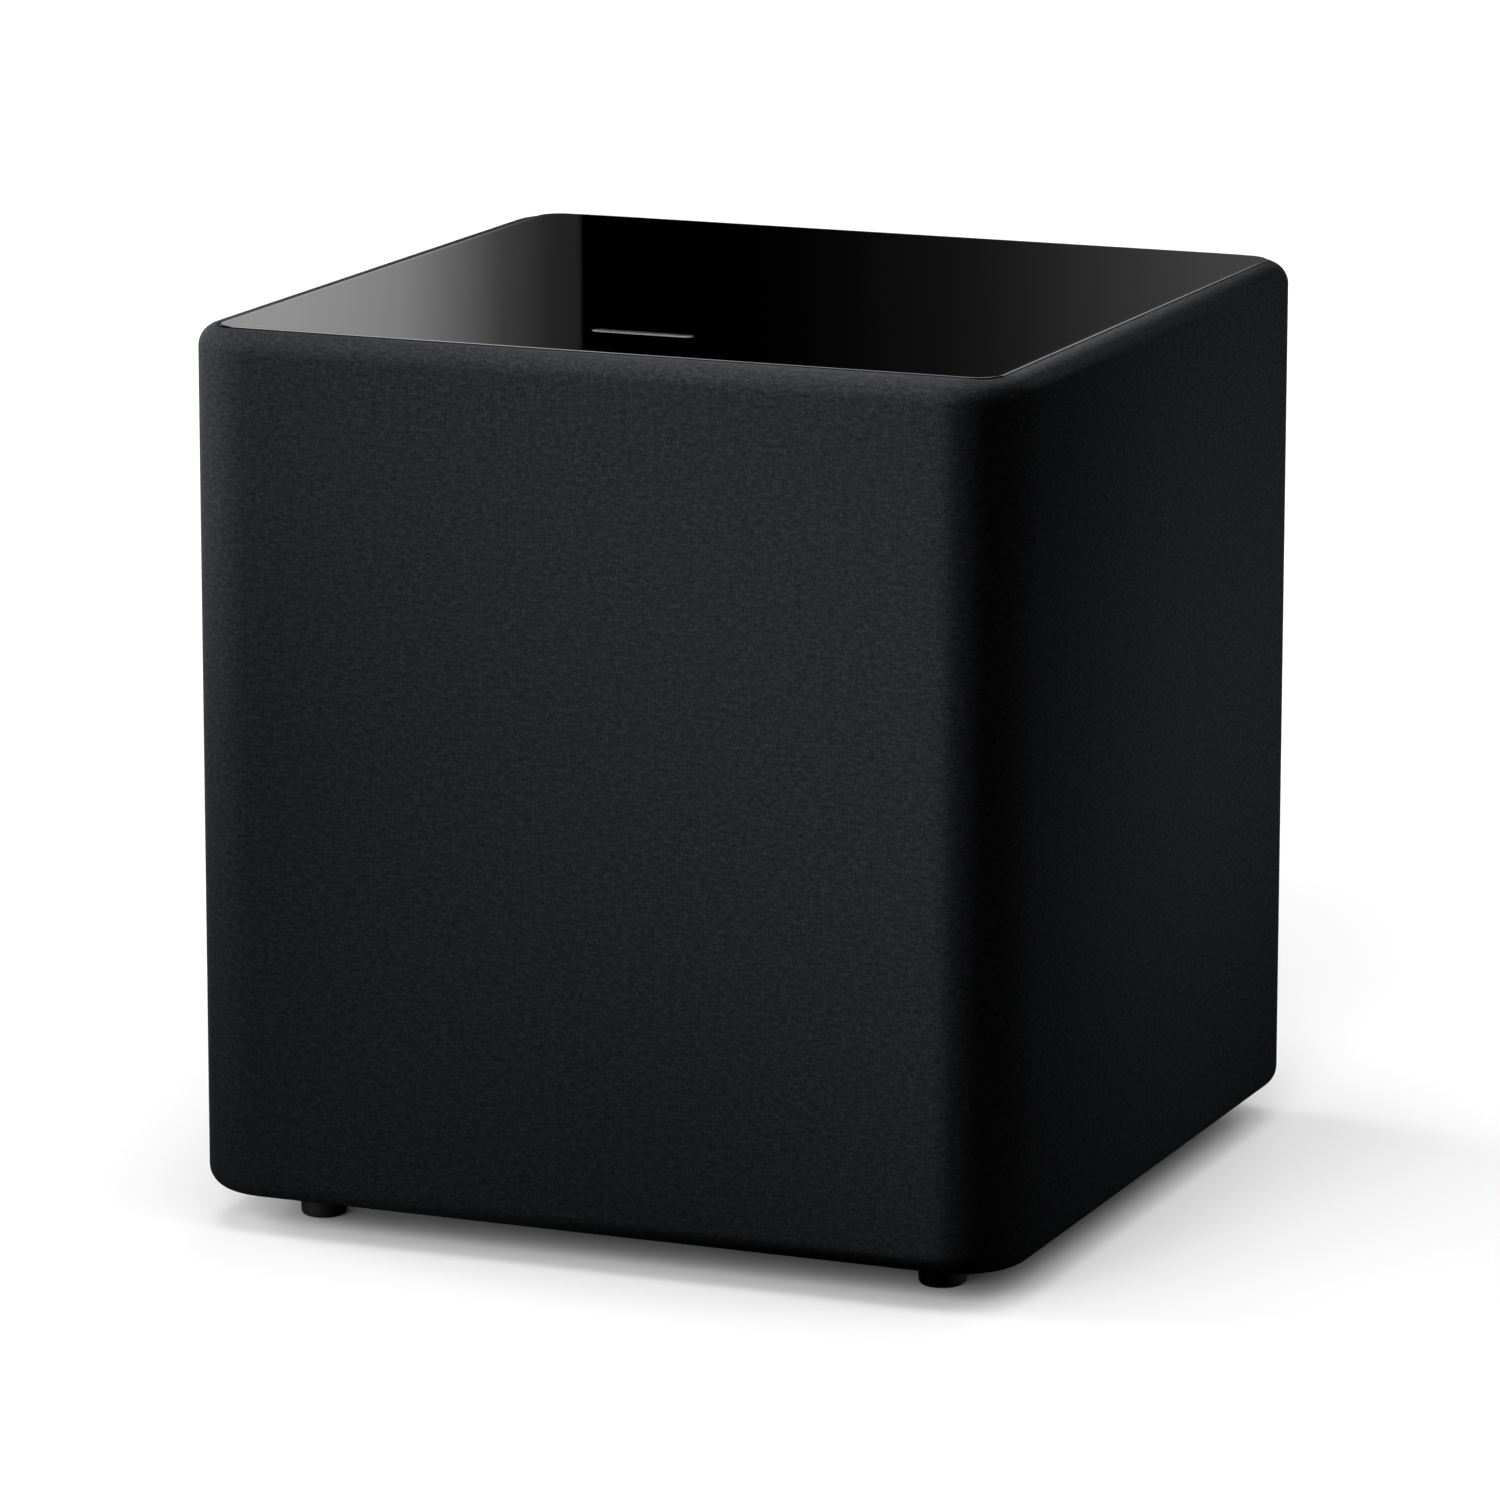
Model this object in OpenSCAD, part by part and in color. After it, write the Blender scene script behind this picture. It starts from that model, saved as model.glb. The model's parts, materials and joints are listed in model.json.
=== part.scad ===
// Powered sealed subwoofer: cloth-covered cube cabinet with a gloss top panel,
// one 300 mm class woofer firing forward, and a plate amplifier at the rear.
// Units are millimetres. +Z is up, the front faces -Y, the origin is on the
// floor at the middle of the overall footprint.

/* [Cabinet] */
// Outside width over the cloth
body_w = 393; // [370:1:430]
// Outside depth over the cloth
body_d = 393; // [370:1:430]
// Height of the cloth-covered body, without feet
body_h = 393; // [385:1:430]
// Radius of the four upright corners
corner_r = 34; // [30:1:44]
// Radius where the cloth turns over the top and bottom edges
edge_r = 10; // [8:0.5:12]
// Thickness of the cloth with its backing
cloth_t = 1.2; // [0.8:0.1:1.6]
// Thickness of the cabinet boards
board_t = 18; // [15:1:20]
// Thickness of the front baffle
baffle_t = 25; // [22:1:30]
// Depth of the moulded grille frame in front of the baffle
grille_depth = 24; // [20:1:28]

/* [Top panel and base] */
// Thickness of the gloss top panel
panel_t = 5; // [4:0.5:6]
// Distance from the outside face to the edge of the top panel
panel_inset = 12.4; // [12.2:0.1:14]
// Radius of the top panel's corners
panel_r = 12; // [10:1:18]
// Bevel round the top panel
panel_bevel = 1; // [0.6:0.1:1.4]
// Distance from the outside face to the edge of the base plate
base_inset = 9.5; // [9.4:0.1:11]
// Thickness of the base plate
base_t = 3.6; // [3:0.1:4]

/* [Feet] */
// Height of the cabinet above the floor
foot_h = 16; // [12:1:20]
// Foot radius where it meets the base
foot_r = 11.2; // [10:0.1:14]
// Foot radius at the floor
foot_r_low = 10.3; // [8:0.1:12]
// Distance from each outside face to the foot's centre
foot_inset = 47; // [44:1:60]

/* [Driver] */
// Radius of the driver's mounting flange
flange_r = 155; // [153:1:156]
// Radius of the ring of driver screws
driver_pcr = 149; // [148:0.5:150]
// Number of driver screws
driver_screw_n = 8; // [6:1:12]
// Outer radius of the cone
cone_r = 120; // [116:1:121]
// Voice coil former radius, inside
coil_r = 25.3; // [25:0.1:26]

/* [Amplifier plate] */
// Width of the amplifier plate
plate_w = 250; // [246:1:260]
// Height of the amplifier plate
plate_h = 300; // [296:1:310]
// Thickness of the amplifier plate
plate_t = 3; // [2.5:0.5:4]
// How far the knobs stand out behind the cloth
rear_out = 17; // [16:0.5:20]
// Number of heat sink fins
fin_n = 25; // [15:1:27]
// Knob radius
knob_r = 9.5; // [8:0.5:11]

/* [Hidden] */
$fn = 96;
e = 0.01;

z0 = foot_h;                      // underside of the cloth
z1 = foot_h + body_h;             // top of the cloth
cz = foot_h + body_h / 2;         // middle of the body
gap = 0.1;                        // between the cloth and the cabinet
skin = cloth_t + gap;
env_w = body_w - 2 * skin;        // cabinet inside the cloth
env_d = body_d - 2 * skin;
env_r = corner_r - skin;
tuck_in = base_inset - 0.3;       // inner face of the cloth's tucked edge at the base
tuck_out = tuck_in - cloth_t;
lip_in = panel_inset - 0.3;       // inner face of the cloth's tucked edge round the panel
lip_out = lip_in - cloth_t;
pocket = 4.2;                     // depth of the base plate's pocket
zb = z0 + skin + board_t;         // top of the bottom board
zt = z1 - skin - board_t;         // underside of the top board
wall_h = zt - zb;
yf = -env_d / 2;                  // front of the grille frame
y_baffle = yf + grille_depth;     // front face of the baffle
y_sides = y_baffle + baffle_t;    // where the side boards start
y_post = env_d / 2 - env_r;       // where the rear posts start
x_in = env_w / 2 - board_t;       // inner face of the side boards
y_rear_in = env_d / 2 - board_t;  // inner face of the rear board
cut_w = 224;                      // amplifier cut-out in the rear board
cut_h = 274;

// The whole object is centred in depth between the front cloth and the knobs.
module placed() translate([0, -rear_out / 2, 0]) children();

// Driver frame: local +Z points forward out of the cabinet, z = 0 is the baffle's face.
module driver_at() placed() translate([0, y_baffle, cz]) rotate([90, 0, 0]) children();

// Amplifier frame: as seen from behind, X right, Y up, Z towards the viewer, z = 0 is the rear cloth face.
module amp_at() placed() translate([0, body_d / 2, cz]) rotate([90, 0, 180]) children();

module round_rect(w, d, r) {
    union() {
        square([w - 2 * r, d], center = true);
        square([w, d - 2 * r], center = true);
        for (x = [-1, 1], y = [-1, 1]) translate([x * (w / 2 - r), y * (d / 2 - r)]) circle(r);
    }
}

module slab(w, d, r, h) linear_extrude(h) round_rect(w, d, r);

// Sweeps a profile round a rounded rectangle. The profile's x is 0 at the outer face
// and negative inwards, and its y is height.
module ring_sweep(w, d, r) {
    for (i = [0:3]) {
        a = i * 90;
        lx = (i % 2 == 0) ? w : d;
        ly = (i % 2 == 0) ? d : w;
        rotate(a) translate([lx / 2, 0, 0]) rotate([90, 0, 0]) linear_extrude(ly - 2 * r, center = true) children();
        rotate(a) translate([lx / 2 - r, ly / 2 - r, 0]) rotate_extrude(angle = 90) translate([r, 0]) children();
    }
}

function arc(cx, cy, r, a0, a1, n) = [for (i = [0:n]) let (a = a0 + (a1 - a0) * i / n) [cx + r * cos(a), cy + r * sin(a)]];

// A tube along points, as one closed solid with s sides.
function unit(v) = v / max(norm(v), 1e-6);
function along(p, i) = unit(p[min(i + 1, len(p) - 1)] - p[max(i - 1, 0)]);
function side_of(t) = unit(cross(t, abs(t[2]) < 0.8 ? [0, 0, 1] : [1, 0, 0]));
module tube_along(p, r, s = 8) {
    n = len(p);
    pts = [for (i = [0:n - 1], k = [0:s - 1]) let (t = along(p, i), u = side_of(t), v = cross(t, u), a = 360 * k / s) p[i] + r * (cos(a) * u + sin(a) * v)];
    faces = concat(
        [[for (k = [0:s - 1]) k]],
        [[for (k = [s - 1:-1:0]) (n - 1) * s + k]],
        [for (i = [0:n - 2], k = [0:s - 1]) [i * s + k, (i + 1) * s + k, (i + 1) * s + (k + 1) % s, i * s + (k + 1) % s]]
    );
    polyhedron(points = pts, faces = faces, convexity = 6);
}
function bez(a, b, c, d, t) = pow(1 - t, 3) * a + 3 * pow(1 - t, 2) * t * b + 3 * (1 - t) * t * t * c + pow(t, 3) * d;

// ---------------------------------------------------------------- cabinet

module top_panel() color("#0b0b0c") placed() {
    w = body_w - 2 * panel_inset; d = body_d - 2 * panel_inset; r = panel_r;
    zlo = z1 - panel_t; zhi = z1;
    translate([0, 0, zlo]) slab(w - 16, d - 16, r - 8, panel_t);
    ring_sweep(w, d, r) polygon([[-8, zlo], [0, zlo], [0, zhi - panel_bevel], [-panel_bevel, zhi], [-8, zhi]]);
}

module edge_board() {
    // A board whose outer edge is rounded under the cloth, with a pocket for the panel.
    // Its outer face is up, at height 0 for the cloth's own top.
    lo = -skin - board_t;
    rim = tuck_out - gap;
    a1 = acos((edge_r - rim) / (edge_r - skin));
    ring_sweep(body_w, body_d, corner_r) polygon(concat(
        [[-14, lo], [-skin, lo]],
        arc(-edge_r, -edge_r, edge_r - skin, 0, a1, 6),
        [[-rim, -pocket], [-14, -pocket]]));
    translate([0, 0, lo]) slab(body_w - 28, body_d - 28, corner_r - 14, -pocket - lo);
}

module top_board() color("#8a6f52") placed() translate([0, 0, z1]) {
    // Rounded under the cloth, with a pocket for the flush panel and the cloth's lip.
    lo = -skin - board_t; rim = lip_out - gap; r = panel_r + panel_inset - rim;
    difference() {
        union() {
            ring_sweep(body_w, body_d, corner_r) polygon(concat(
                [[-14, lo], [-skin, lo]],
                arc(-edge_r, -edge_r, edge_r - skin, 0, 90, 6),
                [[-14, -skin]]));
            translate([0, 0, lo]) slab(body_w - 27, body_d - 27, corner_r - 13.5, board_t);
        }
        translate([0, 0, -panel_t]) slab(body_w - 2 * rim, body_d - 2 * rim, r, panel_t);
    }
}

module bottom_board() color("#8a6f52") placed() difference() {
    translate([0, 0, z0]) mirror([0, 0, 1]) edge_board();
    for (x = [-1, 1], y = [-1, 1]) translate([x * (body_w / 2 - foot_inset), y * (body_d / 2 - foot_inset), z0 - 1]) cylinder(r = 5, h = 16);
}

module base_plate() color("#141415") placed() difference() {
    translate([0, 0, z0 + pocket - base_t]) slab(body_w - 2 * base_inset, body_d - 2 * base_inset, corner_r - base_inset, base_t);
    for (x = [-1, 1], y = [-1, 1]) translate([x * (body_w / 2 - foot_inset), y * (body_d / 2 - foot_inset), z0 - 5]) cylinder(r = 3.4, h = 20);
}

module side_boards() color("#8a6f52") placed() for (x = [-x_in - board_t, x_in]) translate([x, y_sides, zb]) cube([board_t, y_post - y_sides, wall_h]);

module rear_board() color("#8a6f52") placed() difference() {
    translate([-(env_w / 2 - env_r), y_rear_in, zb]) cube([env_w - 2 * env_r, board_t, wall_h]);
    translate([-cut_w / 2, y_rear_in - 5, cz - cut_h / 2]) cube([cut_w, board_t + 10, cut_h]);
    for (p = plate_screws()) translate([-p[0], env_d / 2 + 1, cz + p[1]]) rotate([90, 0, 0]) cylinder(r = 1.9, h = 15);
}

module rear_corner_posts() color("#7d644a") placed() for (s = [-1, 1]) intersection() {
    translate([s * (env_w / 2 - env_r), y_post, zb]) cylinder(r = env_r, h = wall_h);
    translate([s > 0 ? env_w / 2 - env_r : -env_w / 2 - 1, y_post, zb - 1]) cube([env_r + 1, env_r + 1, wall_h + 2]);
}

module front_baffle() color("#7d644a") difference() {
    placed() translate([0, 0, zb]) linear_extrude(wall_h) intersection() {
        round_rect(env_w, env_d, env_r);
        translate([-env_w / 2 - 1, y_baffle]) square([env_w + 2, baffle_t]);
    }
    driver_at() {
        translate([0, 0, -baffle_t - 5]) cylinder(r = 143, h = baffle_t + 10);
        translate([0, 0, -6.8]) cylinder(r = flange_r + 1, h = 10);
        for (i = [0:driver_screw_n - 1]) rotate(i * 360 / driver_screw_n + 22.5) translate([driver_pcr, 0, -22]) cylinder(r = 2.0, h = 30);
    }
}

module window_brace() color("#8a6f52") placed() difference() {
    translate([-x_in, 0, zb]) cube([2 * x_in, board_t, wall_h]);
    for (x = [-1, 1], z = [-1, 1]) translate([x * 80, -5, cz + z * 80]) rotate([-90, 0, 0]) slab(118, 118, 24, board_t + 10);
}

module grille_frame() color("#1b1b1d") difference() {
    placed() translate([0, 0, zb]) linear_extrude(wall_h) intersection() {
        round_rect(env_w, env_d, env_r);
        translate([-env_w / 2 - 1, yf - 1]) square([env_w + 2, grille_depth + 1]);
    }
    driver_at() translate([0, 0, -5]) cylinder(r = 160, h = grille_depth + 10);
    // coring pockets, open at the back, leave a 4 mm front skin and ribs
    driver_at() for (x = [-1, 1], y = [-1, 1]) translate([x * 156, y * 142, -1]) slab(36, 50, 6, grille_depth - 3);
}

module grille_lattice() color("#1b1b1d") driver_at() translate([0, 0, grille_depth - 3]) linear_extrude(3) union() {
    for (r = [24, 51, 78, 105, 132, 159.8]) difference() { circle(r); circle(r - 3.4); }
    difference() { union() for (i = [0:2]) rotate(i * 60) square([318, 3.2], center = true); circle(r = 22); }
    difference() { union() for (i = [0:5]) rotate(i * 60 + 30) translate([76, -1.6]) square([83, 3.2]); circle(r = 75); }
}

module cloth_cover() color("#232427") placed() difference() {
    a1 = acos((edge_r - tuck_in) / edge_r);
    a2 = acos((edge_r - tuck_out) / (edge_r - cloth_t));
    top = z1; bot = z0;
    union() {
        difference() {
            union() {
                ring_sweep(body_w, body_d, corner_r) polygon(concat(
                    [[-tuck_in, bot + 3.4]],
                    arc(-edge_r, bot + edge_r, edge_r, -a1, 0, 8),
                    arc(-edge_r, top - edge_r, edge_r, 0, 90, 8),
                    [[-edge_r - 0.5, top], [-edge_r - 0.5, top - cloth_t]],
                    arc(-edge_r, top - edge_r, edge_r - cloth_t, 90, 0, 6),
                    arc(-edge_r, bot + edge_r, edge_r - cloth_t, 0, -a2, 6),
                    [[-tuck_out, bot + 3.4]]));
                // flat shelf between the rounded edge and the panel
                translate([0, 0, top - cloth_t]) linear_extrude(cloth_t) difference() {
                    round_rect(body_w - 2 * edge_r - 0.4, body_d - 2 * edge_r - 0.4, corner_r - edge_r - 0.2);
                    square([body_w - 2 * corner_r, body_d - 2 * corner_r], center = true);
                }
            }
            translate([0, 0, top - 4]) slab(body_w - 2 * lip_out - 0.6, body_d - 2 * lip_out - 0.6, panel_r + panel_inset - lip_out - 0.3, 5);
        }
        // lip tucked down beside the panel
        ring_sweep(body_w - 2 * lip_out, body_d - 2 * lip_out, panel_r + panel_inset - lip_out)
            polygon([[-cloth_t, top - 3.4], [0, top - 3.4], [0, top], [-cloth_t + 0.5, top], [-cloth_t + 0.15, top - 0.15], [-cloth_t, top - 0.5]]);
    }
    translate([-243 / 2, body_d / 2 - 5, cz - 293 / 2]) cube([243, 10, 293]);
}

module damping_pads() color("#d9d8d2") placed() {
    translate([-x_in + 0.4, 24, zb + 8]) cube([22, 118, wall_h - 16]);
    translate([x_in - 22.4, 24, zb + 8]) cube([22, 118, wall_h - 16]);
    translate([-120, 24, zt - 22.4]) cube([240, 86, 22]);
}

module foot_pads() color("#0c0c0c") placed() for (x = [-1, 1], y = [-1, 1])
    translate([x * (body_w / 2 - foot_inset), y * (body_d / 2 - foot_inset), 0])
        rotate_extrude() difference() {
            polygon([[0, 0], [foot_r_low - 1.6, 0], [foot_r_low - 0.6, 0.5], [foot_r_low, 1.8], [foot_r - 0.2, z0 + 0.6 - 2], [foot_r, z0 + 0.6], [0, z0 + 0.6]]);
            translate([-1, -1]) square([4.3, 30]);
            translate([-1, -1]) square([6.4, 7]);
        }

module foot_screws() color("#3a3a3c") placed() for (x = [-1, 1], y = [-1, 1])
    translate([x * (body_w / 2 - foot_inset), y * (body_d / 2 - foot_inset), 0]) difference() {
        union() { translate([0, 0, 2.6]) cylinder(r = 5, h = 3.4); translate([0, 0, 3]) cylinder(r = 3, h = z0 + 10); }
        translate([0, 0, 2]) cylinder(r = 2.3, h = 2.6, $fn = 6);
    }

module foot_inserts() color("#b8975a") placed() for (x = [-1, 1], y = [-1, 1])
    translate([x * (body_w / 2 - foot_inset), y * (body_d / 2 - foot_inset), z0 + pocket]) difference() {
        cylinder(r = 4.95, h = 15 - pocket);
        translate([0, 0, -1]) cylinder(r = 3.05, h = 20);
    }

// ---------------------------------------------------------------- driver

land_r = 139.3;                   // inside of the flange, where the surround ends
module basket() color("#4a4b4e") driver_at() difference() {
    union() {
        // flange, skirt, spider landing and motor seat
        rotate_extrude() polygon([[land_r, -18], [142.3, -18], [142.3, -6], [flange_r, -6], [flange_r, 0], [land_r, 0]]);
        translate([0, 0, -66]) difference() { cylinder(r = 92, h = 6.6); translate([0, 0, -1]) cylinder(r = 79, h = 9); }
        translate([0, 0, -92]) difference() { cylinder(r = 74, h = 6); translate([0, 0, -1]) cylinder(r = 34, h = 8); }
        for (i = [0:5]) rotate(i * 60) rotate([90, 0, 0]) translate([0, 0, -8]) linear_extrude(16)
            polygon([[land_r + 0.3, -17.9], [142, -17.9], [140, -30], [98, -72], [80, -91.5], [60, -92], [60, -86.2], [70, -84], [80, -72], [80, -62], [90.5, -60.5], [92, -58]]);
        // terminal bracket
        translate([-16, 88, -64]) cube([32, 16, 3]);
    }
    for (i = [0:driver_screw_n - 1]) rotate(i * 360 / driver_screw_n + 22.5) translate([driver_pcr, 0, -10]) cylinder(r = 2.7, h = 20);
}

module driver_gasket() color("#202020") driver_at() translate([0, 0, -6.8]) difference() {
    cylinder(r = flange_r, h = 0.8);
    translate([0, 0, -1]) cylinder(r = 144, h = 3);
    for (i = [0:driver_screw_n - 1]) rotate(i * 360 / driver_screw_n + 22.5) translate([driver_pcr, 0, -1]) cylinder(r = 2.7, h = 3);
}

module trim_ring() color("#161616") driver_at() difference() {
    rotate_extrude() polygon([[142.5, 1.3], [146.2, 1.3], [146.2, 0], [flange_r - 0.4, 0], [flange_r - 0.4, 2.6], [flange_r - 1.6, 3.8], [143.7, 3.8], [142.5, 2.8]]);
    for (i = [0:driver_screw_n - 1]) rotate(i * 360 / driver_screw_n + 22.5) translate([driver_pcr, 0, 0]) cylinder(r = 2.7, h = 10);
}

module driver_screws() color("#3a3a3c") driver_at() for (i = [0:driver_screw_n - 1])
    rotate(i * 360 / driver_screw_n + 22.5) translate([driver_pcr, 0, 0]) difference() {
        union() { translate([0, 0, 3.8]) cylinder(r = 4.3, h = 3.2); translate([0, 0, -21]) cylinder(r = 1.95, h = 25); }
        translate([0, 0, 5]) cylinder(r = 2.1, h = 4, $fn = 6);
    }

roll_c = (cone_r + land_r) / 2;
roll_r = (land_r - cone_r) / 2;
module surround() color("#18181a") driver_at() rotate_extrude() polygon(concat(
    [[cone_r - 7, 0.05], [cone_r - 1, 0.05]],
    arc(roll_c, 0.6, roll_r - 0.6, 180, 0, 16),
    [[land_r + 0.4, 0.05], [145.9, 0.05], [145.9, 1.2], [land_r + 0.8, 1.2]],
    arc(roll_c, 1.2, roll_r + 0.2, 0, 180, 16),
    [[cone_r - 7, 1.15]]));

module cone() color("#2a2b2d") driver_at() rotate_extrude() polygon([
    [coil_r + 0.35, -50], [27.2, -50], [44, -41.2], [70, -29.6], [96, -17.0], [113.6, -6.0], [117, -1.3], [cone_r, -1.3], [cone_r, 0], [116, 0], [112.6, -4.8],
    [95, -15.6], [69.2, -28.2], [43.2, -39.8], [coil_r + 0.35, -48.4]]);

module dust_cap() color("#1c1c1e") driver_at() rotate_extrude() polygon(concat(
    [for (i = [0:12]) let (a = i * 34 / 12) [84 * sin(a), -22.7 - 84 * (1 - cos(a))]],
    [for (i = [12:-1:0]) let (a = i * 34 / 12) [84 * sin(a) * 0.995, -23.7 - 84 * (1 - cos(a))]]));

module coil_former() color("#c9a66b") driver_at() translate([0, 0, -112]) difference() {
    cylinder(r = coil_r + 0.35, h = 64.5);
    translate([0, 0, -1]) cylinder(r = coil_r, h = 70);
}

module voice_coil() color("#b5672e") driver_at() translate([0, 0, -108]) difference() {
    cylinder(r = coil_r + 1.3, h = 24);
    translate([0, 0, -1]) cylinder(r = coil_r + 0.35, h = 30);
}

module spider() color("#c28a3a") driver_at() rotate_extrude() {
    rs = [for (i = [0:40]) 30 + i * (78 - 30) / 40];
    polygon(concat(
        [[coil_r + 0.4, -58.4], [28, -58.4]], [for (r = rs) [r, -58.4 + 2.4 * sin((r - 30) * 360 / 12)]], [[88, -58.4]],
        [[88, -59.4]], [for (i = [40:-1:0]) [rs[i], -59.4 + 2.4 * sin((rs[i] - 30) * 360 / 12)]], [[28, -59.4], [coil_r + 0.4, -59.4]]));
}

module motor_top_plate() color("#8d8f93") driver_at() translate([0, 0, -102]) difference() {
    cylinder(r = 72, h = 10);
    translate([0, 0, -1]) cylinder(r = coil_r + 1.9, h = 12);
}

module magnet() color("#2e2e30") driver_at() translate([0, 0, -128]) difference() {
    cylinder(r = 78, h = 26);
    translate([0, 0, -1]) cylinder(r = 33, h = 40);
}

module yoke() color("#8d8f93") driver_at() difference() {
    union() { translate([0, 0, -138]) cylinder(r = 72, h = 10); translate([0, 0, -130]) cylinder(r = coil_r - 0.7, h = 38); }
    translate([0, 0, -140]) cylinder(r = 8, h = 60);
}

module magnet_boot() color("#121212") driver_at() rotate_extrude() polygon([[40, -138], [73, -138], [73, -128], [78.2, -128], [78.2, -103], [80.8, -103], [80.8, -136], [75.6, -140.6], [40, -140.6]]);

module driver_terminals() color("#c9b27a") driver_at() for (s = [-1, 1]) translate([s * 9, 0, 0]) {
    translate([-4.5, 93, -61]) cube([9, 9, 4]);
    translate([-3, 96, -57]) cube([6, 15, 0.8]);
    translate([-3, 96, -56.2]) cube([6, 1, 6]);
}

// Flexible leads from the back of the cone to the terminals.
module tinsel_leads() color("#c7793a") driver_at() for (s = [-1, 1])
    tube_along([for (i = [0:14]) bez([s * 9, 97.9, -51], [s * 9, 98.5, -41], [s * 12, 66, -52], [s * 12, 59.5, -36.8], i / 14)], 0.8, 8);

// Two insulated wires from the driver's tabs through the brace to the amplifier.
wire_end = [-76, body_d / 2 - 35, cz + 74];
module speaker_wires() color("#a03028") placed() for (s = [-1, 1])
    tube_along(concat(
        [for (i = [0:16]) bez([s * 9, y_baffle + 58.6, cz + 112], [s * 9, y_baffle + 92, cz + 118], [wire_end[0] + s * 4, 20, cz + 74], [wire_end[0] + s * 4, body_d / 2 - 86, wire_end[2]], i / 16)],
        [[wire_end[0] + s * 4, wire_end[1], wire_end[2]]]), 1.9, 10);

module wire_grommet() color("#161616") amp_at() translate([76, 74, 0]) difference() {
    rotate_extrude() polygon([[0, -78.4], [10, -78.4], [10, -76.05], [6.9, -76.05], [6.9, -73.45], [9, -73.45], [9, -71.4], [0, -71.4]]);
    for (s = [-1, 1]) translate([s * 4, 0, -90]) cylinder(r = 2.0, h = 30);
}

// ---------------------------------------------------------------- amplifier

function plate_screws() = [[-118, -143], [118, -143], [-118, 143], [118, 143], [-118, -48], [118, -48], [-118, 48], [118, 48], [0, -143], [0, 143]];
function small_screws() = concat([for (x = [-94, 94], y = [67, 121]) [x, y]], [for (x = [-20, 20]) [inlet_x + x, low_y]]);
function board_posts() = concat([for (x = [-92, 92], y = [8, 118]) [x, y, -24]], [for (x = [-92, 92], y = [-118, -8]) [x, y, -72]]);
vol_x = -78; xo_x = -26; ctl_y = 18;
sw_x = [24, 56, 88];
rca_x = [-92, -66]; rca_y = -42;
inlet_x = -62; rock_x = 34; low_y = -104; rocker_tilt = 8;

module amp_plate() color("#1d1e20") amp_at() difference() {
    slab(plate_w, plate_h, 10, plate_t);
    for (p = plate_screws()) translate([p[0], p[1], -1]) cylinder(r = 2.1, h = 10);
    for (x = [vol_x, xo_x]) translate([x, ctl_y, -1]) cylinder(r = 4.1, h = 10);
    for (i = [0:2]) translate([sw_x[i], ctl_y, 0]) cube([i == 1 ? 13.2 : 10.2, 4.4, 12], center = true);
    for (x = rca_x) translate([x, rca_y, -1]) cylinder(r = 4.3, h = 10);
    translate([72, rca_y, 0]) cube([28.4, 12.4, 12], center = true);
    translate([inlet_x, low_y, 0]) cube([28.4, 20.4, 12], center = true);
    translate([rock_x, low_y, 0]) cube([20.4, 27.4, 12], center = true);
    translate([56, 46, -1]) cylinder(r = 1.6, h = 10);
    for (p = small_screws()) translate([p[0], p[1], -1]) cylinder(r = 1.6, h = 10);
}

module amp_gasket() color("#202020") amp_at() translate([0, 0, -skin]) linear_extrude(skin) difference() {
    round_rect(242, 292, 6);
    round_rect(cut_w, cut_h, 2);
    for (p = plate_screws()) translate(p) circle(2.1);
}

module amp_enclosure() color("#2c2d30") amp_at() difference() {
    union() {
        difference() {
            translate([0, 0, -76]) slab(218, 268, 8, 76);
            translate([0, 0, -73.5]) slab(213, 263, 5.5, 80);
        }
        for (p = board_posts()) translate([p[0], p[1], -74]) cylinder(r = 4, h = p[2] + 74);
    }
    for (p = board_posts()) translate([p[0], p[1], p[2] - 8]) cylinder(r = 1.55, h = 20);
    translate([76, 74, -80]) cylinder(r = 7, h = 10);
}

module pan_screw(r, head, len) difference() {
    union() {
        translate([0, 0, -len]) cylinder(r = r, h = len);
        rotate_extrude() polygon([[0, 0], [head, 0], [head, head * 0.25], [head * 0.8, head * 0.5], [head * 0.4, head * 0.64], [0, head * 0.64]]);
    }
    translate([0, 0, head * 0.5]) { cube([head * 1.1, head * 0.22, head * 0.5], center = true); cube([head * 0.22, head * 1.1, head * 0.5], center = true); }
}

module amp_screws() color("#2a2a2c") amp_at() for (p = plate_screws()) translate([p[0], p[1], plate_t]) pan_screw(1.85, 3.8, 16);

// Small screws that hold the heat sink, the inlet and the two circuit boards.
module panel_screws() color("#2a2a2c") amp_at() {
    for (i = [0:5]) translate([small_screws()[i][0], small_screws()[i][1], plate_t + (i < 4 ? 3 : 2.4)]) pan_screw(1.5, 2.8, 8);
    for (p = board_posts()) translate([p[0], p[1], p[2] + 1.6]) pan_screw(1.5, 2.8, 7);
}

module heat_sink() color("#1d1e20") amp_at() difference() {
    union() {
        translate([-101, 94 - 33, plate_t]) cube([202, 66, 3]);
        for (i = [0:fin_n - 1]) translate([-101 + 12 + i * (178 - 1.8) / (fin_n - 1), 94 - 33, plate_t + 2.9]) cube([1.8, 66, 8.1]);
    }
    for (i = [0:3]) translate([small_screws()[i][0], small_screws()[i][1], 0]) cylinder(r = 1.6, h = 20);
}

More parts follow.
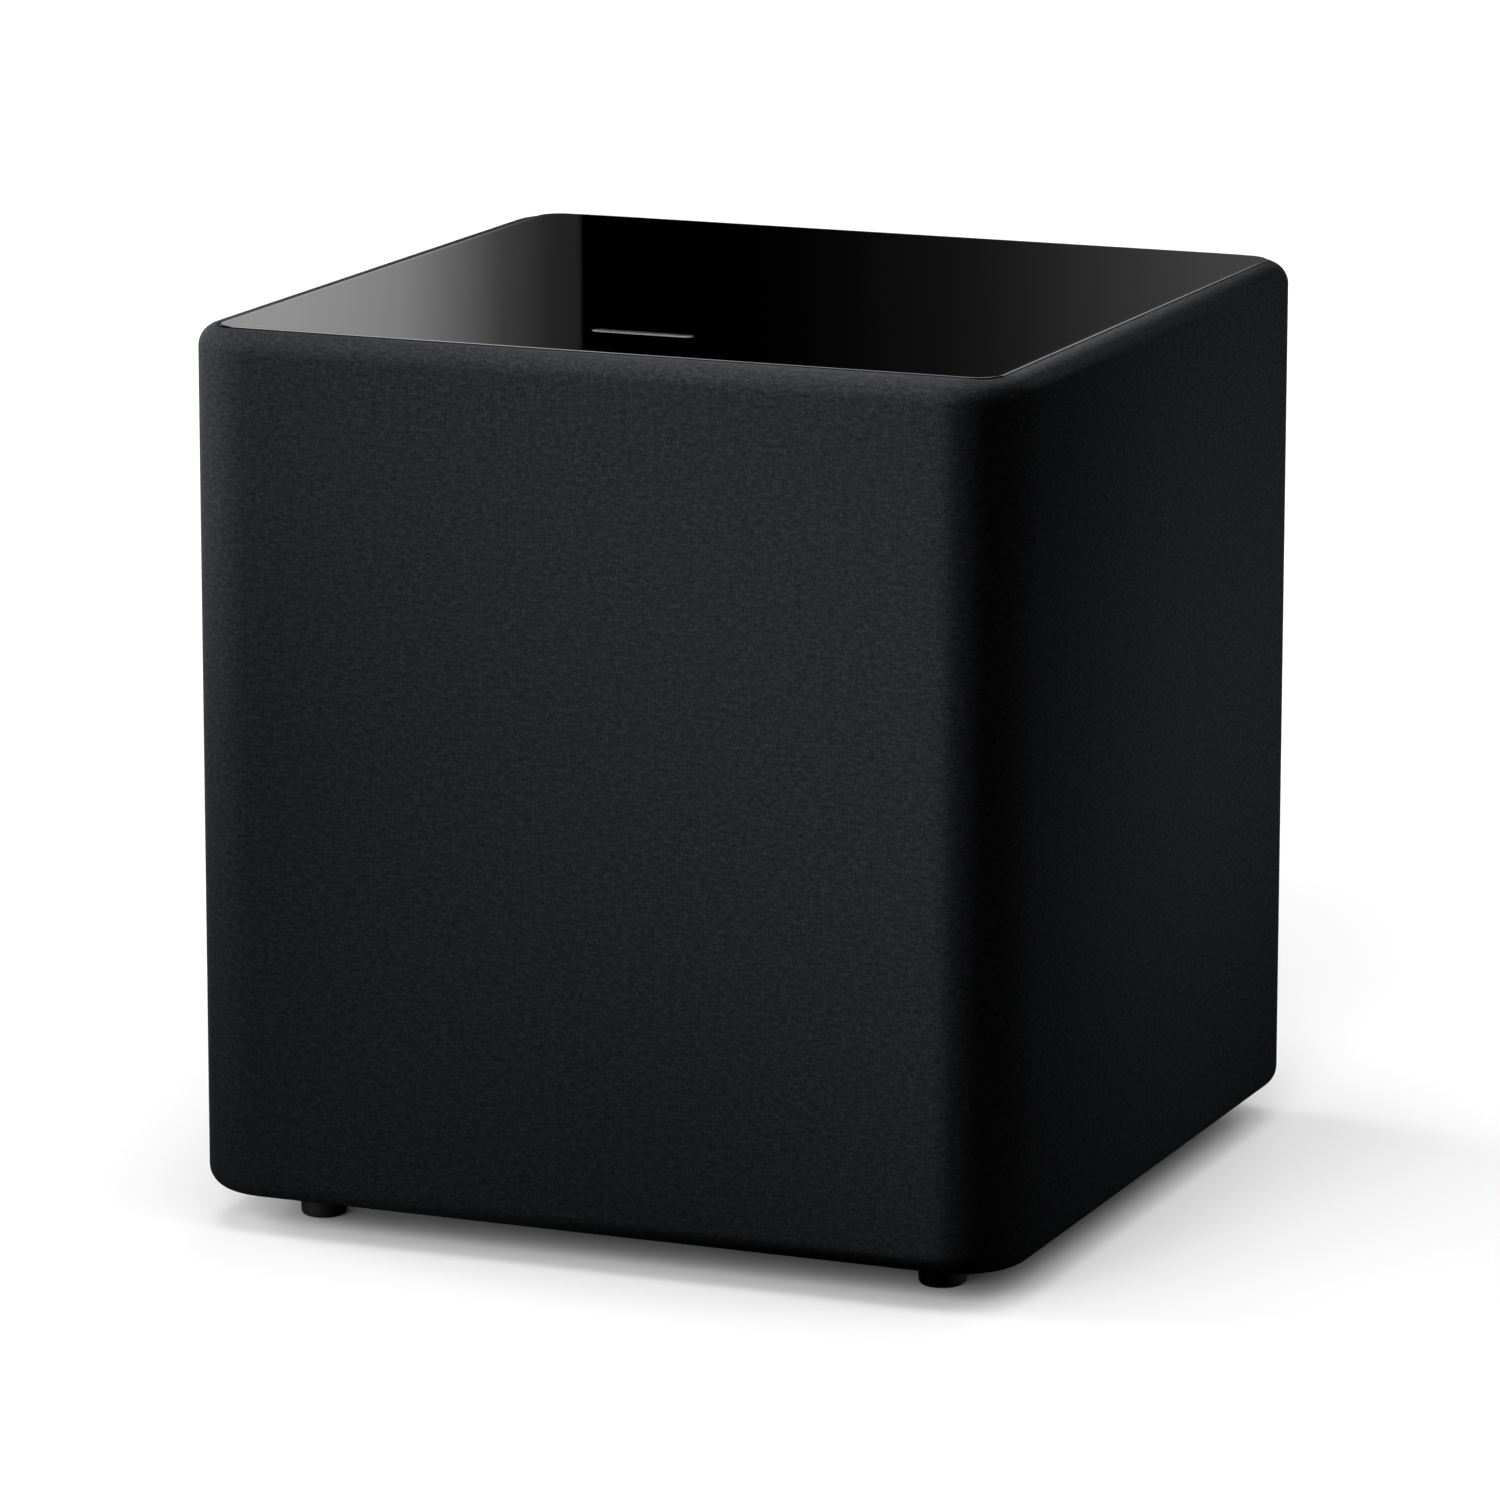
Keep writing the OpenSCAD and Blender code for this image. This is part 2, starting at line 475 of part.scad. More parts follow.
module amplifier_board() color("#1f5a3a") amp_at() difference() {
    union() {
        translate([-96, 4, -24]) cube([192, 118, 1.6]);
        translate([-60, 96, -22.5]) cube([44, 20, 20]);
        translate([20, 96, -22.5]) cube([44, 20, 20]);
        translate([-80, 58, -22.5]) cube([26, 26, 15]);
        translate([-40, 60, -22.5]) cube([16, 16, 3]);
        translate([0, 66, -22.5]) cylinder(r = 11, h = 17);
        translate([30, 66, -22.5]) cylinder(r = 11, h = 17);
        translate([69, 68, -34]) cube([14, 12, 10.1]);
    }
    for (p = board_posts()) translate([p[0], p[1], p[2] - 5]) cylinder(r = 1.6, h = 10);
    for (s = [-1, 1]) translate([76 + s * 4, 74, -36]) cylinder(r = 2, h = 3);
}

module power_board() color("#1f5a3a") amp_at() difference() {
    union() {
        translate([-96, -122, -72]) cube([192, 118, 1.6]);
        translate([-88, -112, -70.5]) cube([22, 30, 26]);
        translate([72, -60, -70.5]) cube([16, 44, 30]);
        translate([-50, -116, -70.5]) cylinder(r = 5, h = 14);
        for (x = [22, 48], y = [-40, -72]) translate([x, y, -70.5]) cylinder(r = 11, h = 36);
    }
    for (x = [22, 48], y = [-40, -72]) translate([x, y, -35.1]) { cube([16, 0.6, 2], center = true); cube([0.6, 16, 2], center = true); }
    for (p = board_posts()) translate([p[0], p[1], p[2] - 5]) cylinder(r = 1.6, h = 10);
}

module transformer() color("#6b4a1e") amp_at() translate([-36, -52, -70.4]) {
    rotate_extrude() polygon([[12, 2], [14, 0], [34, 0], [36, 2], [36, 26], [34, 28], [14, 28], [12, 26]]);
}

module knob() difference() {
    rotate_extrude() polygon([[3, plate_t + 1.2], [4.2, plate_t + 1.2], [4.2, plate_t + 3.4], [6.6, plate_t + 3.4], [6.6, plate_t + 1], [knob_r, plate_t + 1], [knob_r, plate_t + 2.6], [knob_r - 0.9, plate_t + 3.4], [knob_r - 1.5, rear_out - 0.9], [knob_r - 2.4, rear_out], [0, rear_out], [0, plate_t + 9.5], [3, plate_t + 9.5]]);
    for (i = [0:17]) rotate(i * 20 + 10) translate([knob_r - 0.5, 0, plate_t + 3.4]) cylinder(r = 0.8, h = 20);
    translate([-0.6, 2.5, rear_out - 0.7]) cube([1.2, 10, 2]);
}
module volume_knob() color("#141415") amp_at() translate([vol_x, ctl_y, 0]) knob();
module crossover_knob() color("#141415") amp_at() translate([xo_x, ctl_y, 0]) knob();
module shaft() union() { translate([0, 0, -6]) cylinder(r = 2.95, h = plate_t + 15.5); translate([0, 0, -7.5]) cylinder(r = 5, h = 1.6); }
module volume_shaft() color("#b9bbbf") amp_at() translate([vol_x, ctl_y, 0]) shaft();
module crossover_shaft() color("#b9bbbf") amp_at() translate([xo_x, ctl_y, 0]) shaft();

module potentiometers() color("#8d8f93") amp_at() for (x = [vol_x, xo_x]) translate([x, ctl_y, 0]) difference() {
    union() {
        translate([0, 0, -10]) cylinder(r = 8.4, h = 9.9);
        translate([0, 0, -1]) cylinder(r = 3.95, h = 1 + plate_t + 0.7);
    }
    translate([0, 0, -8]) cylinder(r = 5.4, h = 2.4);
    translate([0, 0, -8]) cylinder(r = 3.0, h = 20);
}

module lever(w) union() {
    translate([0, 0, 2.2]) cube([w, 3.2, 6.8], center = true);
    translate([0, 0, -2.65]) cube([w + 1.4, 4.4, 2.9], center = true);
    for (x = [-1:1]) translate([x * 1.2, 0, 5.7]) cube([0.5, 3.2, 0.5], center = true);
}
module phase_switch_lever() color("#c8c8c8") amp_at() translate([sw_x[0] - 2, ctl_y, 0]) lever(4);
module eq_switch_lever() color("#c8c8c8") amp_at() translate([sw_x[1], ctl_y, 0]) lever(4);
module power_mode_lever() color("#c8c8c8") amp_at() translate([sw_x[2] - 2, ctl_y, 0]) lever(4);
module slide_switch_bodies() color("#8d8f93") amp_at() for (i = [0:2]) translate([sw_x[i], ctl_y, 0]) difference() {
    translate([0, 0, -4.6]) cube([i == 1 ? 19 : 16, 8, 9], center = true);
    translate([0, 0, -2.7]) cube([i == 1 ? 14.4 : 11.4, 4.8, 3.4], center = true);
    translate([0, 0, -1]) cube([i == 1 ? 13 : 10, 3.8, 5], center = true);
}

module rca_jacks() color("#c9a24a") amp_at() for (x = rca_x) translate([x, rca_y, 0]) difference() {
    union() {
        cylinder(r = 4.15, h = 13);
        translate([0, 0, plate_t]) cylinder(r = 6.4, h = 1.4, $fn = 6);
        translate([0, 0, -4]) cylinder(r = 6, h = 4);
        translate([0, 0, -10]) cylinder(r = 2.4, h = 7);
    }
    translate([0, 0, 0]) cylinder(r = 3.5, h = 20);
}

module rca_insulators() color("#e8e8e6") amp_at() for (x = rca_x) translate([x, rca_y, 0]) difference() {
    cylinder(r = 3.45, h = 12.2);
    translate([0, 0, 2]) cylinder(r = 1.65, h = 20);
}

module terminal_block() color("#16321f") amp_at() translate([72, rca_y, 0]) difference() {
    union() {
        translate([-14, -6, -8]) cube([28, 12, 17]);
        translate([-15.5, -7.5, plate_t]) cube([31, 15, 1.6]);
    }
    for (i = [0:3]) translate([-10.5 + i * 7, 2.4, 4]) cylinder(r = 1.6, h = 10);
    for (i = [0:3]) translate([-10.5 + i * 7, -2.6, 3]) cylinder(r = 1.9, h = 10);
}

// The live, neutral and earth pins, as [x, y] of each blade's middle.
pin_at = [[-7, -2], [7, -2], [0, 3]];
module inlet_pins() color("#c8c4b8") amp_at() translate([inlet_x, low_y, 0]) for (p = pin_at) translate([p[0] - 1, p[1] - 2, -29]) cube([2, 4, p[0] == 0 ? 29 : 28]);

module mains_inlet() color("#121213") amp_at() translate([inlet_x, low_y, 0]) difference() {
    union() {
        translate([-14, -10, -22]) cube([28, 20, 27]);
        translate([0, 0, plate_t]) slab(50, 24, 4, 2.4);
    }
    translate([0, 0, -15]) linear_extrude(30) polygon([[-12.2, -8.2], [12.2, -8.2], [12.2, 4.2], [8.2, 8.2], [-8.2, 8.2], [-12.2, 4.2]]);
    for (p = pin_at) translate([p[0] - 1, p[1] - 2, -30]) cube([2, 4, 20]);
    for (x = [-20, 20]) translate([x, 0, 0]) cylinder(r = 1.6, h = 20);
}

module rocker_housing() color("#121213") amp_at() translate([rock_x, low_y, 0]) difference() {
    union() {
        translate([-10, -13.5, -20]) cube([20, 27, 24]);
        translate([0, 0, plate_t]) slab(24, 32, 2, 1.8);
    }
    translate([-8.1, -11.4, -8]) cube([16.2, 22.8, 20]);
    for (y = [-7, 0, 7]) translate([-2.5, y - 0.4, -21]) cube([5, 0.8, 4]);
}

// The rocker is a shallow V across its pivot, drawn with its lower half pressed in.
module power_rocker() color("#161617") amp_at() translate([rock_x, low_y, 1.4]) rotate([rocker_tilt, 0, 0]) rotate([90, 0, 90]) translate([0, 0, -7.8]) linear_extrude(15.6)
    polygon([[-10.4, 2.6], [0, 0.8], [10.4, 2.6], [10.4, -2.4], [5, -7], [-5, -7], [-10.4, -2.4]]);

module status_lamp() color("#e8eef4") amp_at() translate([56, 46, 0]) { cylinder(r = 1.5, h = plate_t + 0.6); translate([0, 0, -3]) cylinder(r = 2.2, h = 3); }

top_panel();
top_board();
bottom_board();
base_plate();
side_boards();
rear_board();
rear_corner_posts();
front_baffle();
window_brace();
grille_frame();
grille_lattice();
cloth_cover();
damping_pads();
foot_pads();
foot_screws();
foot_inserts();
basket();
driver_gasket();
trim_ring();
driver_screws();
surround();
cone();
dust_cap();
coil_former();
voice_coil();
spider();
motor_top_plate();
magnet();
yoke();
magnet_boot();
driver_terminals();
tinsel_leads();
speaker_wires();
wire_grommet();
amp_plate();
amp_gasket();
amp_enclosure();
amp_screws();
panel_screws();
heat_sink();
amplifier_board();
power_board();
transformer();
volume_knob();
volume_shaft();
crossover_knob();
crossover_shaft();
potentiometers();
phase_switch_lever();
eq_switch_lever();
power_mode_lever();
slide_switch_bodies();
rca_jacks();
rca_insulators();
terminal_block();
mains_inlet();
inlet_pins();
rocker_housing();
power_rocker();
status_lamp();
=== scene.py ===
import bpy, bmesh, json, math, random
from mathutils import Vector, Matrix

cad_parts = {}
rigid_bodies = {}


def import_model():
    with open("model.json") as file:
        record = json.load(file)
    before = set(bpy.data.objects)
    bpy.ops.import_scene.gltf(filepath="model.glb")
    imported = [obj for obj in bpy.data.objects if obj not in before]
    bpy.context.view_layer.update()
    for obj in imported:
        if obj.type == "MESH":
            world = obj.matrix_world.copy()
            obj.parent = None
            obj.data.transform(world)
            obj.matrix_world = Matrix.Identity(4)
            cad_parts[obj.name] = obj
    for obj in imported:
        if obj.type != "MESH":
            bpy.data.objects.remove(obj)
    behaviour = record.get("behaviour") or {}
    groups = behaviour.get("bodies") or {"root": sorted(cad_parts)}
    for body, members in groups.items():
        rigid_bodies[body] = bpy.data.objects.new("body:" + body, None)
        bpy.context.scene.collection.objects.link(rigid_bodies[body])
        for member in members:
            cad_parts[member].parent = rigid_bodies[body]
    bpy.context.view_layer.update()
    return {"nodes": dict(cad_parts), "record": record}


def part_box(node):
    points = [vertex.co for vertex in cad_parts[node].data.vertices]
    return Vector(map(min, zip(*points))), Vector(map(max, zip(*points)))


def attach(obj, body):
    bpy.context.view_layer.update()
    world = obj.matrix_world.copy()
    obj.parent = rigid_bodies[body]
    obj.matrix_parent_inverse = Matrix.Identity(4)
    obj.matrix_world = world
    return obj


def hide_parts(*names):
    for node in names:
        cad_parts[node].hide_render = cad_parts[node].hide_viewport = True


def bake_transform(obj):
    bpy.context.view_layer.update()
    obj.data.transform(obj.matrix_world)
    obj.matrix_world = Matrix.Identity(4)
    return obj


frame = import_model()
random.seed(7)

# ------------------------------------------------------------------ frame facts, in metres
PANEL_LO, PANEL_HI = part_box("top_panel")
CLOTH_LO, CLOTH_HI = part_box("cloth_cover")
W = CLOTH_HI.x - CLOTH_LO.x
D = CLOTH_HI.y - CLOTH_LO.y
CY = (CLOTH_HI.y + CLOTH_LO.y) / 2
BASE_LO, BASE_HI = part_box("base_plate")
Z0 = BASE_LO.z - 0.0006                 # underside of the cloth
Z1 = CLOTH_HI.z - 0.0005                # top of the cloth, a hair below the panel
CORNER, EDGE = 0.034, 0.010
TUCK = 0.0092
LIP, PANEL_R = 0.0121, 0.0123          # the opening round the panel, and its corner radius
CZ = (Z0 + Z1) / 2


# ------------------------------------------------------------------ camera
def make_camera():
    w = 0.393
    centre = Vector((0.0, CY, CZ))
    cam = bpy.data.cameras.new("camera")
    obj = bpy.data.objects.new("camera", cam)
    bpy.context.scene.collection.objects.link(obj)
    cam.sensor_width = 36.0
    cam.lens = 8028.0 / 1500.0 * 36.0
    cam.clip_start, cam.clip_end = 0.1, 60.0
    yaw, pitch, roll = -0.38898, 0.21394, 0.00073
    forward = Vector((math.sin(yaw) * math.cos(pitch), math.cos(yaw) * math.cos(pitch), -math.sin(pitch)))
    right = Vector((math.cos(yaw), -math.sin(yaw), 0.0))
    up = right.cross(forward)
    r2 = right * math.cos(roll) + up * math.sin(roll)
    u2 = -right * math.sin(roll) + up * math.cos(roll)
    m = Matrix((r2, u2, -forward)).transposed().to_4x4()
    m.translation = Vector((1.3570, -3.3265, 0.9754))
    obj.matrix_world = m
    bpy.context.scene.camera = obj
    return obj


camera = make_camera()


# ------------------------------------------------------------------ node helpers
class Tree:
    """A small helper for building procedural materials."""

    def __init__(self, name):
        self.mat = bpy.data.materials.new(name)
        self.mat.use_nodes = True
        self.nt = self.mat.node_tree
        self.nt.nodes.clear()
        self.out = self.nt.nodes.new("ShaderNodeOutputMaterial")
        self.bsdf = self.nt.nodes.new("ShaderNodeBsdfPrincipled")
        self.link(self.bsdf.outputs[0], self.out.inputs[0])

    def link(self, a, b):
        self.nt.links.new(a, b)

    def node(self, kind, **kw):
        n = self.nt.nodes.new(kind)
        for k, v in kw.items():
            setattr(n, k, v)
        return n

    def put(self, socket, value):
        if isinstance(value, bpy.types.NodeSocket):
            self.link(value, socket)
        elif isinstance(value, (tuple, list)) and len(value) == 3 and socket.type == "RGBA":
            socket.default_value = (*value, 1.0)
        else:
            socket.default_value = value

    def set(self, **kw):
        for k, v in kw.items():
            self.put(self.bsdf.inputs[k.replace("_", " ")], v)

    def coords(self, kind="Object", scale=(1, 1, 1), rotation=(0, 0, 0)):
        c = self.node("ShaderNodeTexCoord")
        m = self.node("ShaderNodeMapping")
        self.link(c.outputs[kind], m.inputs[0])
        m.inputs["Scale"].default_value = scale
        m.inputs["Rotation"].default_value = rotation
        return m.outputs[0]

    def noise(self, vec, scale, detail=3.0, rough=0.5, distortion=0.0):
        n = self.node("ShaderNodeTexNoise")
        self.link(vec, n.inputs["Vector"])
        n.inputs["Scale"].default_value = scale
        n.inputs["Detail"].default_value = detail
        n.inputs["Roughness"].default_value = rough
        n.inputs["Distortion"].default_value = distortion
        return n.outputs["Fac"]

    def voronoi(self, vec, scale, feature="F1", out="Distance"):
        n = self.node("ShaderNodeTexVoronoi", feature=feature)
        self.link(vec, n.inputs["Vector"])
        n.inputs["Scale"].default_value = scale
        return n.outputs[out]

    def math(self, op, a, b=0.0, c=0.0, clamp=False):
        n = self.node("ShaderNodeMath", operation=op, use_clamp=clamp)
        for i, v in enumerate((a, b, c)):
            if i < len(n.inputs):
                self.put(n.inputs[i], v)
        return n.outputs[0]

    def ramp(self, fac, stops, interp="LINEAR"):
        n = self.node("ShaderNodeValToRGB")
        n.color_ramp.interpolation = interp
        els = n.color_ramp.elements
        while len(els) > 1:
            els.remove(els[-1])
        els[0].position, els[0].color = stops[0][0], (*stops[0][1], 1.0)
        for pos, col in stops[1:]:
            e = els.new(pos)
            e.color = (*col, 1.0)
        self.link(fac, n.inputs[0])
        return n.outputs[0]

    def mix(self, fac, a, b):
        n = self.node("ShaderNodeMix", data_type="RGBA")
        self.put(n.inputs[0], fac)
        self.put(n.inputs[6], a)
        self.put(n.inputs[7], b)
        return n.outputs[2]

    def span(self, value, lo, hi, to_lo, to_hi):
        n = self.node("ShaderNodeMapRange")
        self.put(n.inputs[0], value)
        for i, v in enumerate((lo, hi, to_lo, to_hi)):
            n.inputs[i + 1].default_value = v
        return n.outputs[0]

    def bump(self, height, distance, strength=1.0, normal=None):
        n = self.node("ShaderNodeBump")
        self.link(height, n.inputs["Height"])
        n.inputs["Distance"].default_value = distance
        n.inputs["Strength"].default_value = strength
        if normal is not None:
            self.link(normal, n.inputs["Normal"])
        self.link(n.outputs[0], self.bsdf.inputs["Normal"])
        return n.outputs[0]


def shade(c, k):
    return tuple(max(0.0, v * k) for v in c)


# ------------------------------------------------------------------ materials
def cloth_material():
    """Plain-woven heathered charcoal cloth. UVs are metres along the warp and weft."""
    t = Tree("cloth_weave")
    uv = t.node("ShaderNodeUVMap", uv_map="cloth")
    sep = t.node("ShaderNodeSeparateXYZ")
    t.link(uv.outputs[0], sep.inputs[0])
    u, v = sep.outputs[0], sep.outputs[1]
    pitch = 0.00062                       # one thread
    # slubs: threads wander and thicken a little
    wob = t.noise(uv.outputs[0], 320, 2, 0.6)
    wob_u = t.math("MULTIPLY_ADD", wob, pitch * 1.1, u)
    wob_v = t.math("MULTIPLY_ADD", t.noise(t.coords("UV", (1, 1, 1), (0, 0, 1.3)), 290, 2, 0.6), pitch * 1.1, v)
    su = t.math("SINE", t.math("MULTIPLY", wob_u, math.pi / pitch))
    sv = t.math("SINE", t.math("MULTIPLY", wob_v, math.pi / pitch))
    cu = t.math("ABSOLUTE", su)
    cv = t.math("ABSOLUTE", sv)
    # alternate cells of a plain weave show warp or weft
    par = t.math("MULTIPLY", t.math("SIGN", su), t.math("SIGN", sv))
    sel = t.math("MULTIPLY_ADD", par, 0.5, 0.5)
    warp = t.math("MULTIPLY", cu, t.math("MULTIPLY_ADD", cv, 0.55, 0.45))
    weft = t.math("MULTIPLY", cv, t.math("MULTIPLY_ADD", cu, 0.55, 0.45))
    hgt = t.math("ADD", t.math("MULTIPLY", warp, sel), t.math("MULTIPLY", weft, t.math("SUBTRACT", 1.0, sel)))
    # heather: each thread's colour changes along its length
    m1 = t.node("ShaderNodeMapping"); t.link(uv.outputs[0], m1.inputs[0]); m1.inputs["Scale"].default_value = (1.0, 0.36, 1)
    m2 = t.node("ShaderNodeMapping"); t.link(uv.outputs[0], m2.inputs[0]); m2.inputs["Scale"].default_value = (0.40, 1.0, 1)
    h1 = t.noise(m1.outputs[0], 1150, 2, 0.7)
    h2 = t.noise(m2.outputs[0], 1050, 2, 0.7)
    h3 = t.noise(uv.outputs[0], 900, 3, 0.75)
    heather = t.math("ADD", t.math("MULTIPLY", h1, 0.3), t.math("ADD", t.math("MULTIPLY", h2, 0.25), t.math("MULTIPLY", h3, 0.45)))
    m3 = t.node("ShaderNodeMapping"); t.link(uv.outputs[0], m3.inputs[0]); m3.inputs["Scale"].default_value = (0.62, 1.0, 1)
    h4 = t.noise(m3.outputs[0], 520, 2, 0.65)
    m4 = t.node("ShaderNodeMapping"); t.link(uv.outputs[0], m4.inputs[0]); m4.inputs["Scale"].default_value = (0.22, 1.0, 1)
    h5 = t.noise(m4.outputs[0], 700, 2, 0.6)
    slub = t.math("ADD", t.math("MULTIPLY", h4, 0.28), t.math("MULTIPLY", h5, 0.12))
    heather = t.math("ADD", t.math("MULTIPLY", heather, 0.60), slub)
    tone = t.ramp(heather, [(0.41, (0.0133, 0.0140, 0.0158)), (0.5, (0.0238, 0.0251, 0.0280)), (0.58, (0.0400, 0.0420, 0.0466))])
    # painted shade and highlight: the cloth tone is darkened to 0.30 in the hollows between threads and lifted to 1.12
    # on the thread crests
    weave_painted_shade = t.ramp(hgt, [(0.0, (0.30, 0.30, 0.30)), (0.55, (0.92, 0.92, 0.92)), (1.0, (1.12, 1.12, 1.12))])
    mul = t.node("ShaderNodeMix", data_type="RGBA", blend_type="MULTIPLY")
    mul.inputs[0].default_value = 1.0
    t.link(tone, mul.inputs[6]); t.link(weave_painted_shade, mul.inputs[7])
    t.set(Base_Color=mul.outputs[2], Roughness=0.92)
    t.bsdf.inputs["Specular IOR Level"].default_value = 0.03
    t.bsdf.inputs["Sheen Weight"].default_value = 0.008
    t.bsdf.inputs["Sheen Roughness"].default_value = 0.45
    t.bsdf.inputs["Sheen Tint"].default_value = (0.75, 0.82, 0.9, 1)
    b1 = t.bump(hgt, 0.00016, 0.75)
    t.bump(heather, 0.00022, 0.3, b1)
    return t.mat


def gloss_material():
    """High-gloss black acrylic with the faintest orange peel and a few specks of dust."""
    t = Tree("gloss_black")
    obj = t.coords()
    haze = t.noise(obj, 14, 3, 0.5)
    dust = t.voronoi(obj, 260)
    speck = t.math("LESS_THAN", dust, 0.035)
    base = t.mix(t.math("MULTIPLY", speck, 0.06), (0.0004, 0.0004, 0.00045), (0.10, 0.10, 0.105))
    t.set(Base_Color=base, Roughness=t.span(haze, 0.3, 0.7, 0.012, 0.022))
    t.bsdf.inputs["IOR"].default_value = 1.5
    t.bump(t.noise(obj, 90, 2, 0.4), 0.000004, 0.5)
    return t.mat


def rubber_material(name, base=(0.011, 0.011, 0.0115), rough=0.62, grain=900.0):
    t = Tree(name)
    obj = t.coords()
    mott = t.noise(obj, 60, 4, 0.6)
    t.set(Base_Color=t.ramp(mott, [(0.3, shade(base, 0.75)), (0.7, shade(base, 1.45))]), Roughness=t.span(mott, 0.3, 0.7, rough - 0.08, rough + 0.08))
    t.bsdf.inputs["Specular IOR Level"].default_value = 0.35
    t.bump(t.noise(obj, grain, 3, 0.6), 0.00006, 0.5)
    return t.mat


def plastic_material(name, base, rough=0.45, grain=1400.0, depth=0.00004, level=0.45):
    t = Tree(name)
    obj = t.coords()
    mott = t.noise(obj, 45, 3, 0.5)
    t.set(Base_Color=t.ramp(mott, [(0.3, shade(base, 0.86)), (0.7, shade(base, 1.16))]), Roughness=t.span(mott, 0.3, 0.7, rough - 0.05, rough + 0.06))
    t.bsdf.inputs["Specular IOR Level"].default_value = level
    t.bump(t.voronoi(obj, grain), depth, 0.6)
    return t.mat


def powder_material(name, base, rough=0.5, grain=1100.0):
    t = Tree(name)
    obj = t.coords()
    cell = t.noise(obj, grain, 2, 0.6)
    mott = t.noise(obj, 18, 3, 0.5)
    t.set(Base_Color=t.ramp(mott, [(0.3, shade(base, 0.85)), (0.7, shade(base, 1.2))]), Roughness=t.span(cell, 0.35, 0.65, rough - 0.1, rough + 0.1))
    t.bsdf.inputs["Specular IOR Level"].default_value = 0.5
    t.bump(cell, 0.00009, 0.55)
    return t.mat


def metal_material(name, base, rough=0.3, brushed=None, wear=0.15):
    t = Tree(name)
    obj = t.coords()
    scale = brushed or (1, 1, 1)
    m = t.coords("Object", scale)
    lines = t.noise(m, 700 if brushed else 220, 4, 0.6)
    patch = t.noise(obj, 30, 3, 0.55)
    t.set(Base_Color=t.ramp(patch, [(0.25, shade(base, 1 - wear)), (0.75, shade(base, 1 + wear * 0.5))]), Metallic=1.0, Roughness=t.span(lines, 0.3, 0.7, max(0.05, rough - 0.09), rough + 0.1))
    t.bump(lines, 0.000015 if brushed else 0.00001, 0.5)
    return t.mat


def board_material(name, base):
    """Fibreboard: short pressed fibres, with random darker patches."""
    t = Tree(name)
    obj = t.coords()
    fibre = t.noise(t.coords("Object", (1, 1, 4)), 420, 5, 0.7, 0.3)
    fleck = t.voronoi(obj, 900)
    patch = t.noise(obj, 9, 4, 0.6)
    col = t.ramp(fibre, [(0.25, shade(base, 0.62)), (0.5, base), (0.75, shade(base, 1.28))])
    col = t.mix(t.span(patch, 0.3, 0.7, 0.0, 0.35), col, shade(base, 0.72))
    t.set(Base_Color=col, Roughness=t.span(fleck, 0.0, 0.6, 0.72, 0.92))
    t.bump(fibre, 0.00012, 0.6)
    return t.mat


def fibre_material(name, base, scale=180.0, rough=0.95, sheen=0.3):
    t = Tree(name)
    obj = t.coords()
    f = t.noise(obj, scale, 6, 0.75, 1.2)
    t.set(Base_Color=t.ramp(f, [(0.3, shade(base, 0.6)), (0.6, base), (0.8, shade(base, 1.15))]), Roughness=rough)
    t.bsdf.inputs["Sheen Weight"].default_value = sheen
    t.bsdf.inputs["Specular IOR Level"].default_value = 0.1
    t.bump(f, 0.0012, 0.8)
    return t.mat


def ferrite_material():
    t = Tree("ferrite_magnet")
    obj = t.coords()
    g = t.noise(obj, 600, 5, 0.7)
    p = t.noise(obj, 25, 3, 0.5)
    t.set(Base_Color=t.ramp(p, [(0.3, (0.022, 0.022, 0.024)), (0.7, (0.05, 0.05, 0.053))]), Roughness=t.span(g, 0.3, 0.7, 0.5, 0.75), Metallic=0.35)
    t.bump(g, 0.00014, 0.6)
    return t.mat


def board_green():
    """Solder mask over copper tracks."""
    t = Tree("circuit_board_mask")
    obj = t.coords("Object", (1, 0.05, 1))
    n = t.node("ShaderNodeTexBrick")
    t.link(t.coords("Object", (1, 1, 1), (math.radians(90), 0, 0)), n.inputs["Vector"])
    n.inputs["Scale"].default_value = 90
    n.inputs["Mortar Size"].default_value = 0.03
    n.inputs["Color1"].default_value = (0.006, 0.055, 0.024, 1)
    n.inputs["Color2"].default_value = (0.008, 0.075, 0.034, 1)
    n.inputs["Mortar"].default_value = (0.02, 0.14, 0.06, 1)
    t.set(Base_Color=t.mix(t.span(t.noise(obj, 60, 3, 0.5), 0.3, 0.7, 0, 0.5), n.outputs[0], (0.005, 0.05, 0.02)), Roughness=0.32)
    t.bump(n.outputs["Fac"], 0.00005, 0.5)
    return t.mat


def copper_wire():
    t = Tree("copper_winding")
    obj = t.coords()
    sep = t.node("ShaderNodeSeparateXYZ"); t.link(obj, sep.inputs[0])
    w = t.math("ABSOLUTE", t.math("SINE", t.math("MULTIPLY", sep.outputs[1], math.pi / 0.0006)))
    # painted shade and highlight: the copper darkens to deep brown in the grooves between turns and brightens on each
    # turn's crown
    t.set(Base_Color=t.ramp(w, [(0.0, (0.12, 0.03, 0.012)), (0.6, (0.62, 0.24, 0.10)), (1.0, (0.8, 0.36, 0.17))]), Metallic=0.9, Roughness=t.span(t.noise(obj, 120, 2, 0.5), 0.3, 0.7, 0.25, 0.4))
    t.bump(w, 0.0002, 0.8)
    return t.mat


def tape_material():
    t = Tree("transformer_tape_wrap")
    obj = t.coords()
    n = t.noise(t.coords("Object", (1, 1, 1), (0, 0.5, 0)), 130, 3, 0.5)
    t.set(Base_Color=t.ramp(n, [(0.3, (0.30, 0.19, 0.03)), (0.7, (0.52, 0.36, 0.07))]), Roughness=t.span(n, 0.3, 0.7, 0.28, 0.45))
    t.bump(t.noise(obj, 300, 2, 0.4), 0.0001, 0.5)
    return t.mat


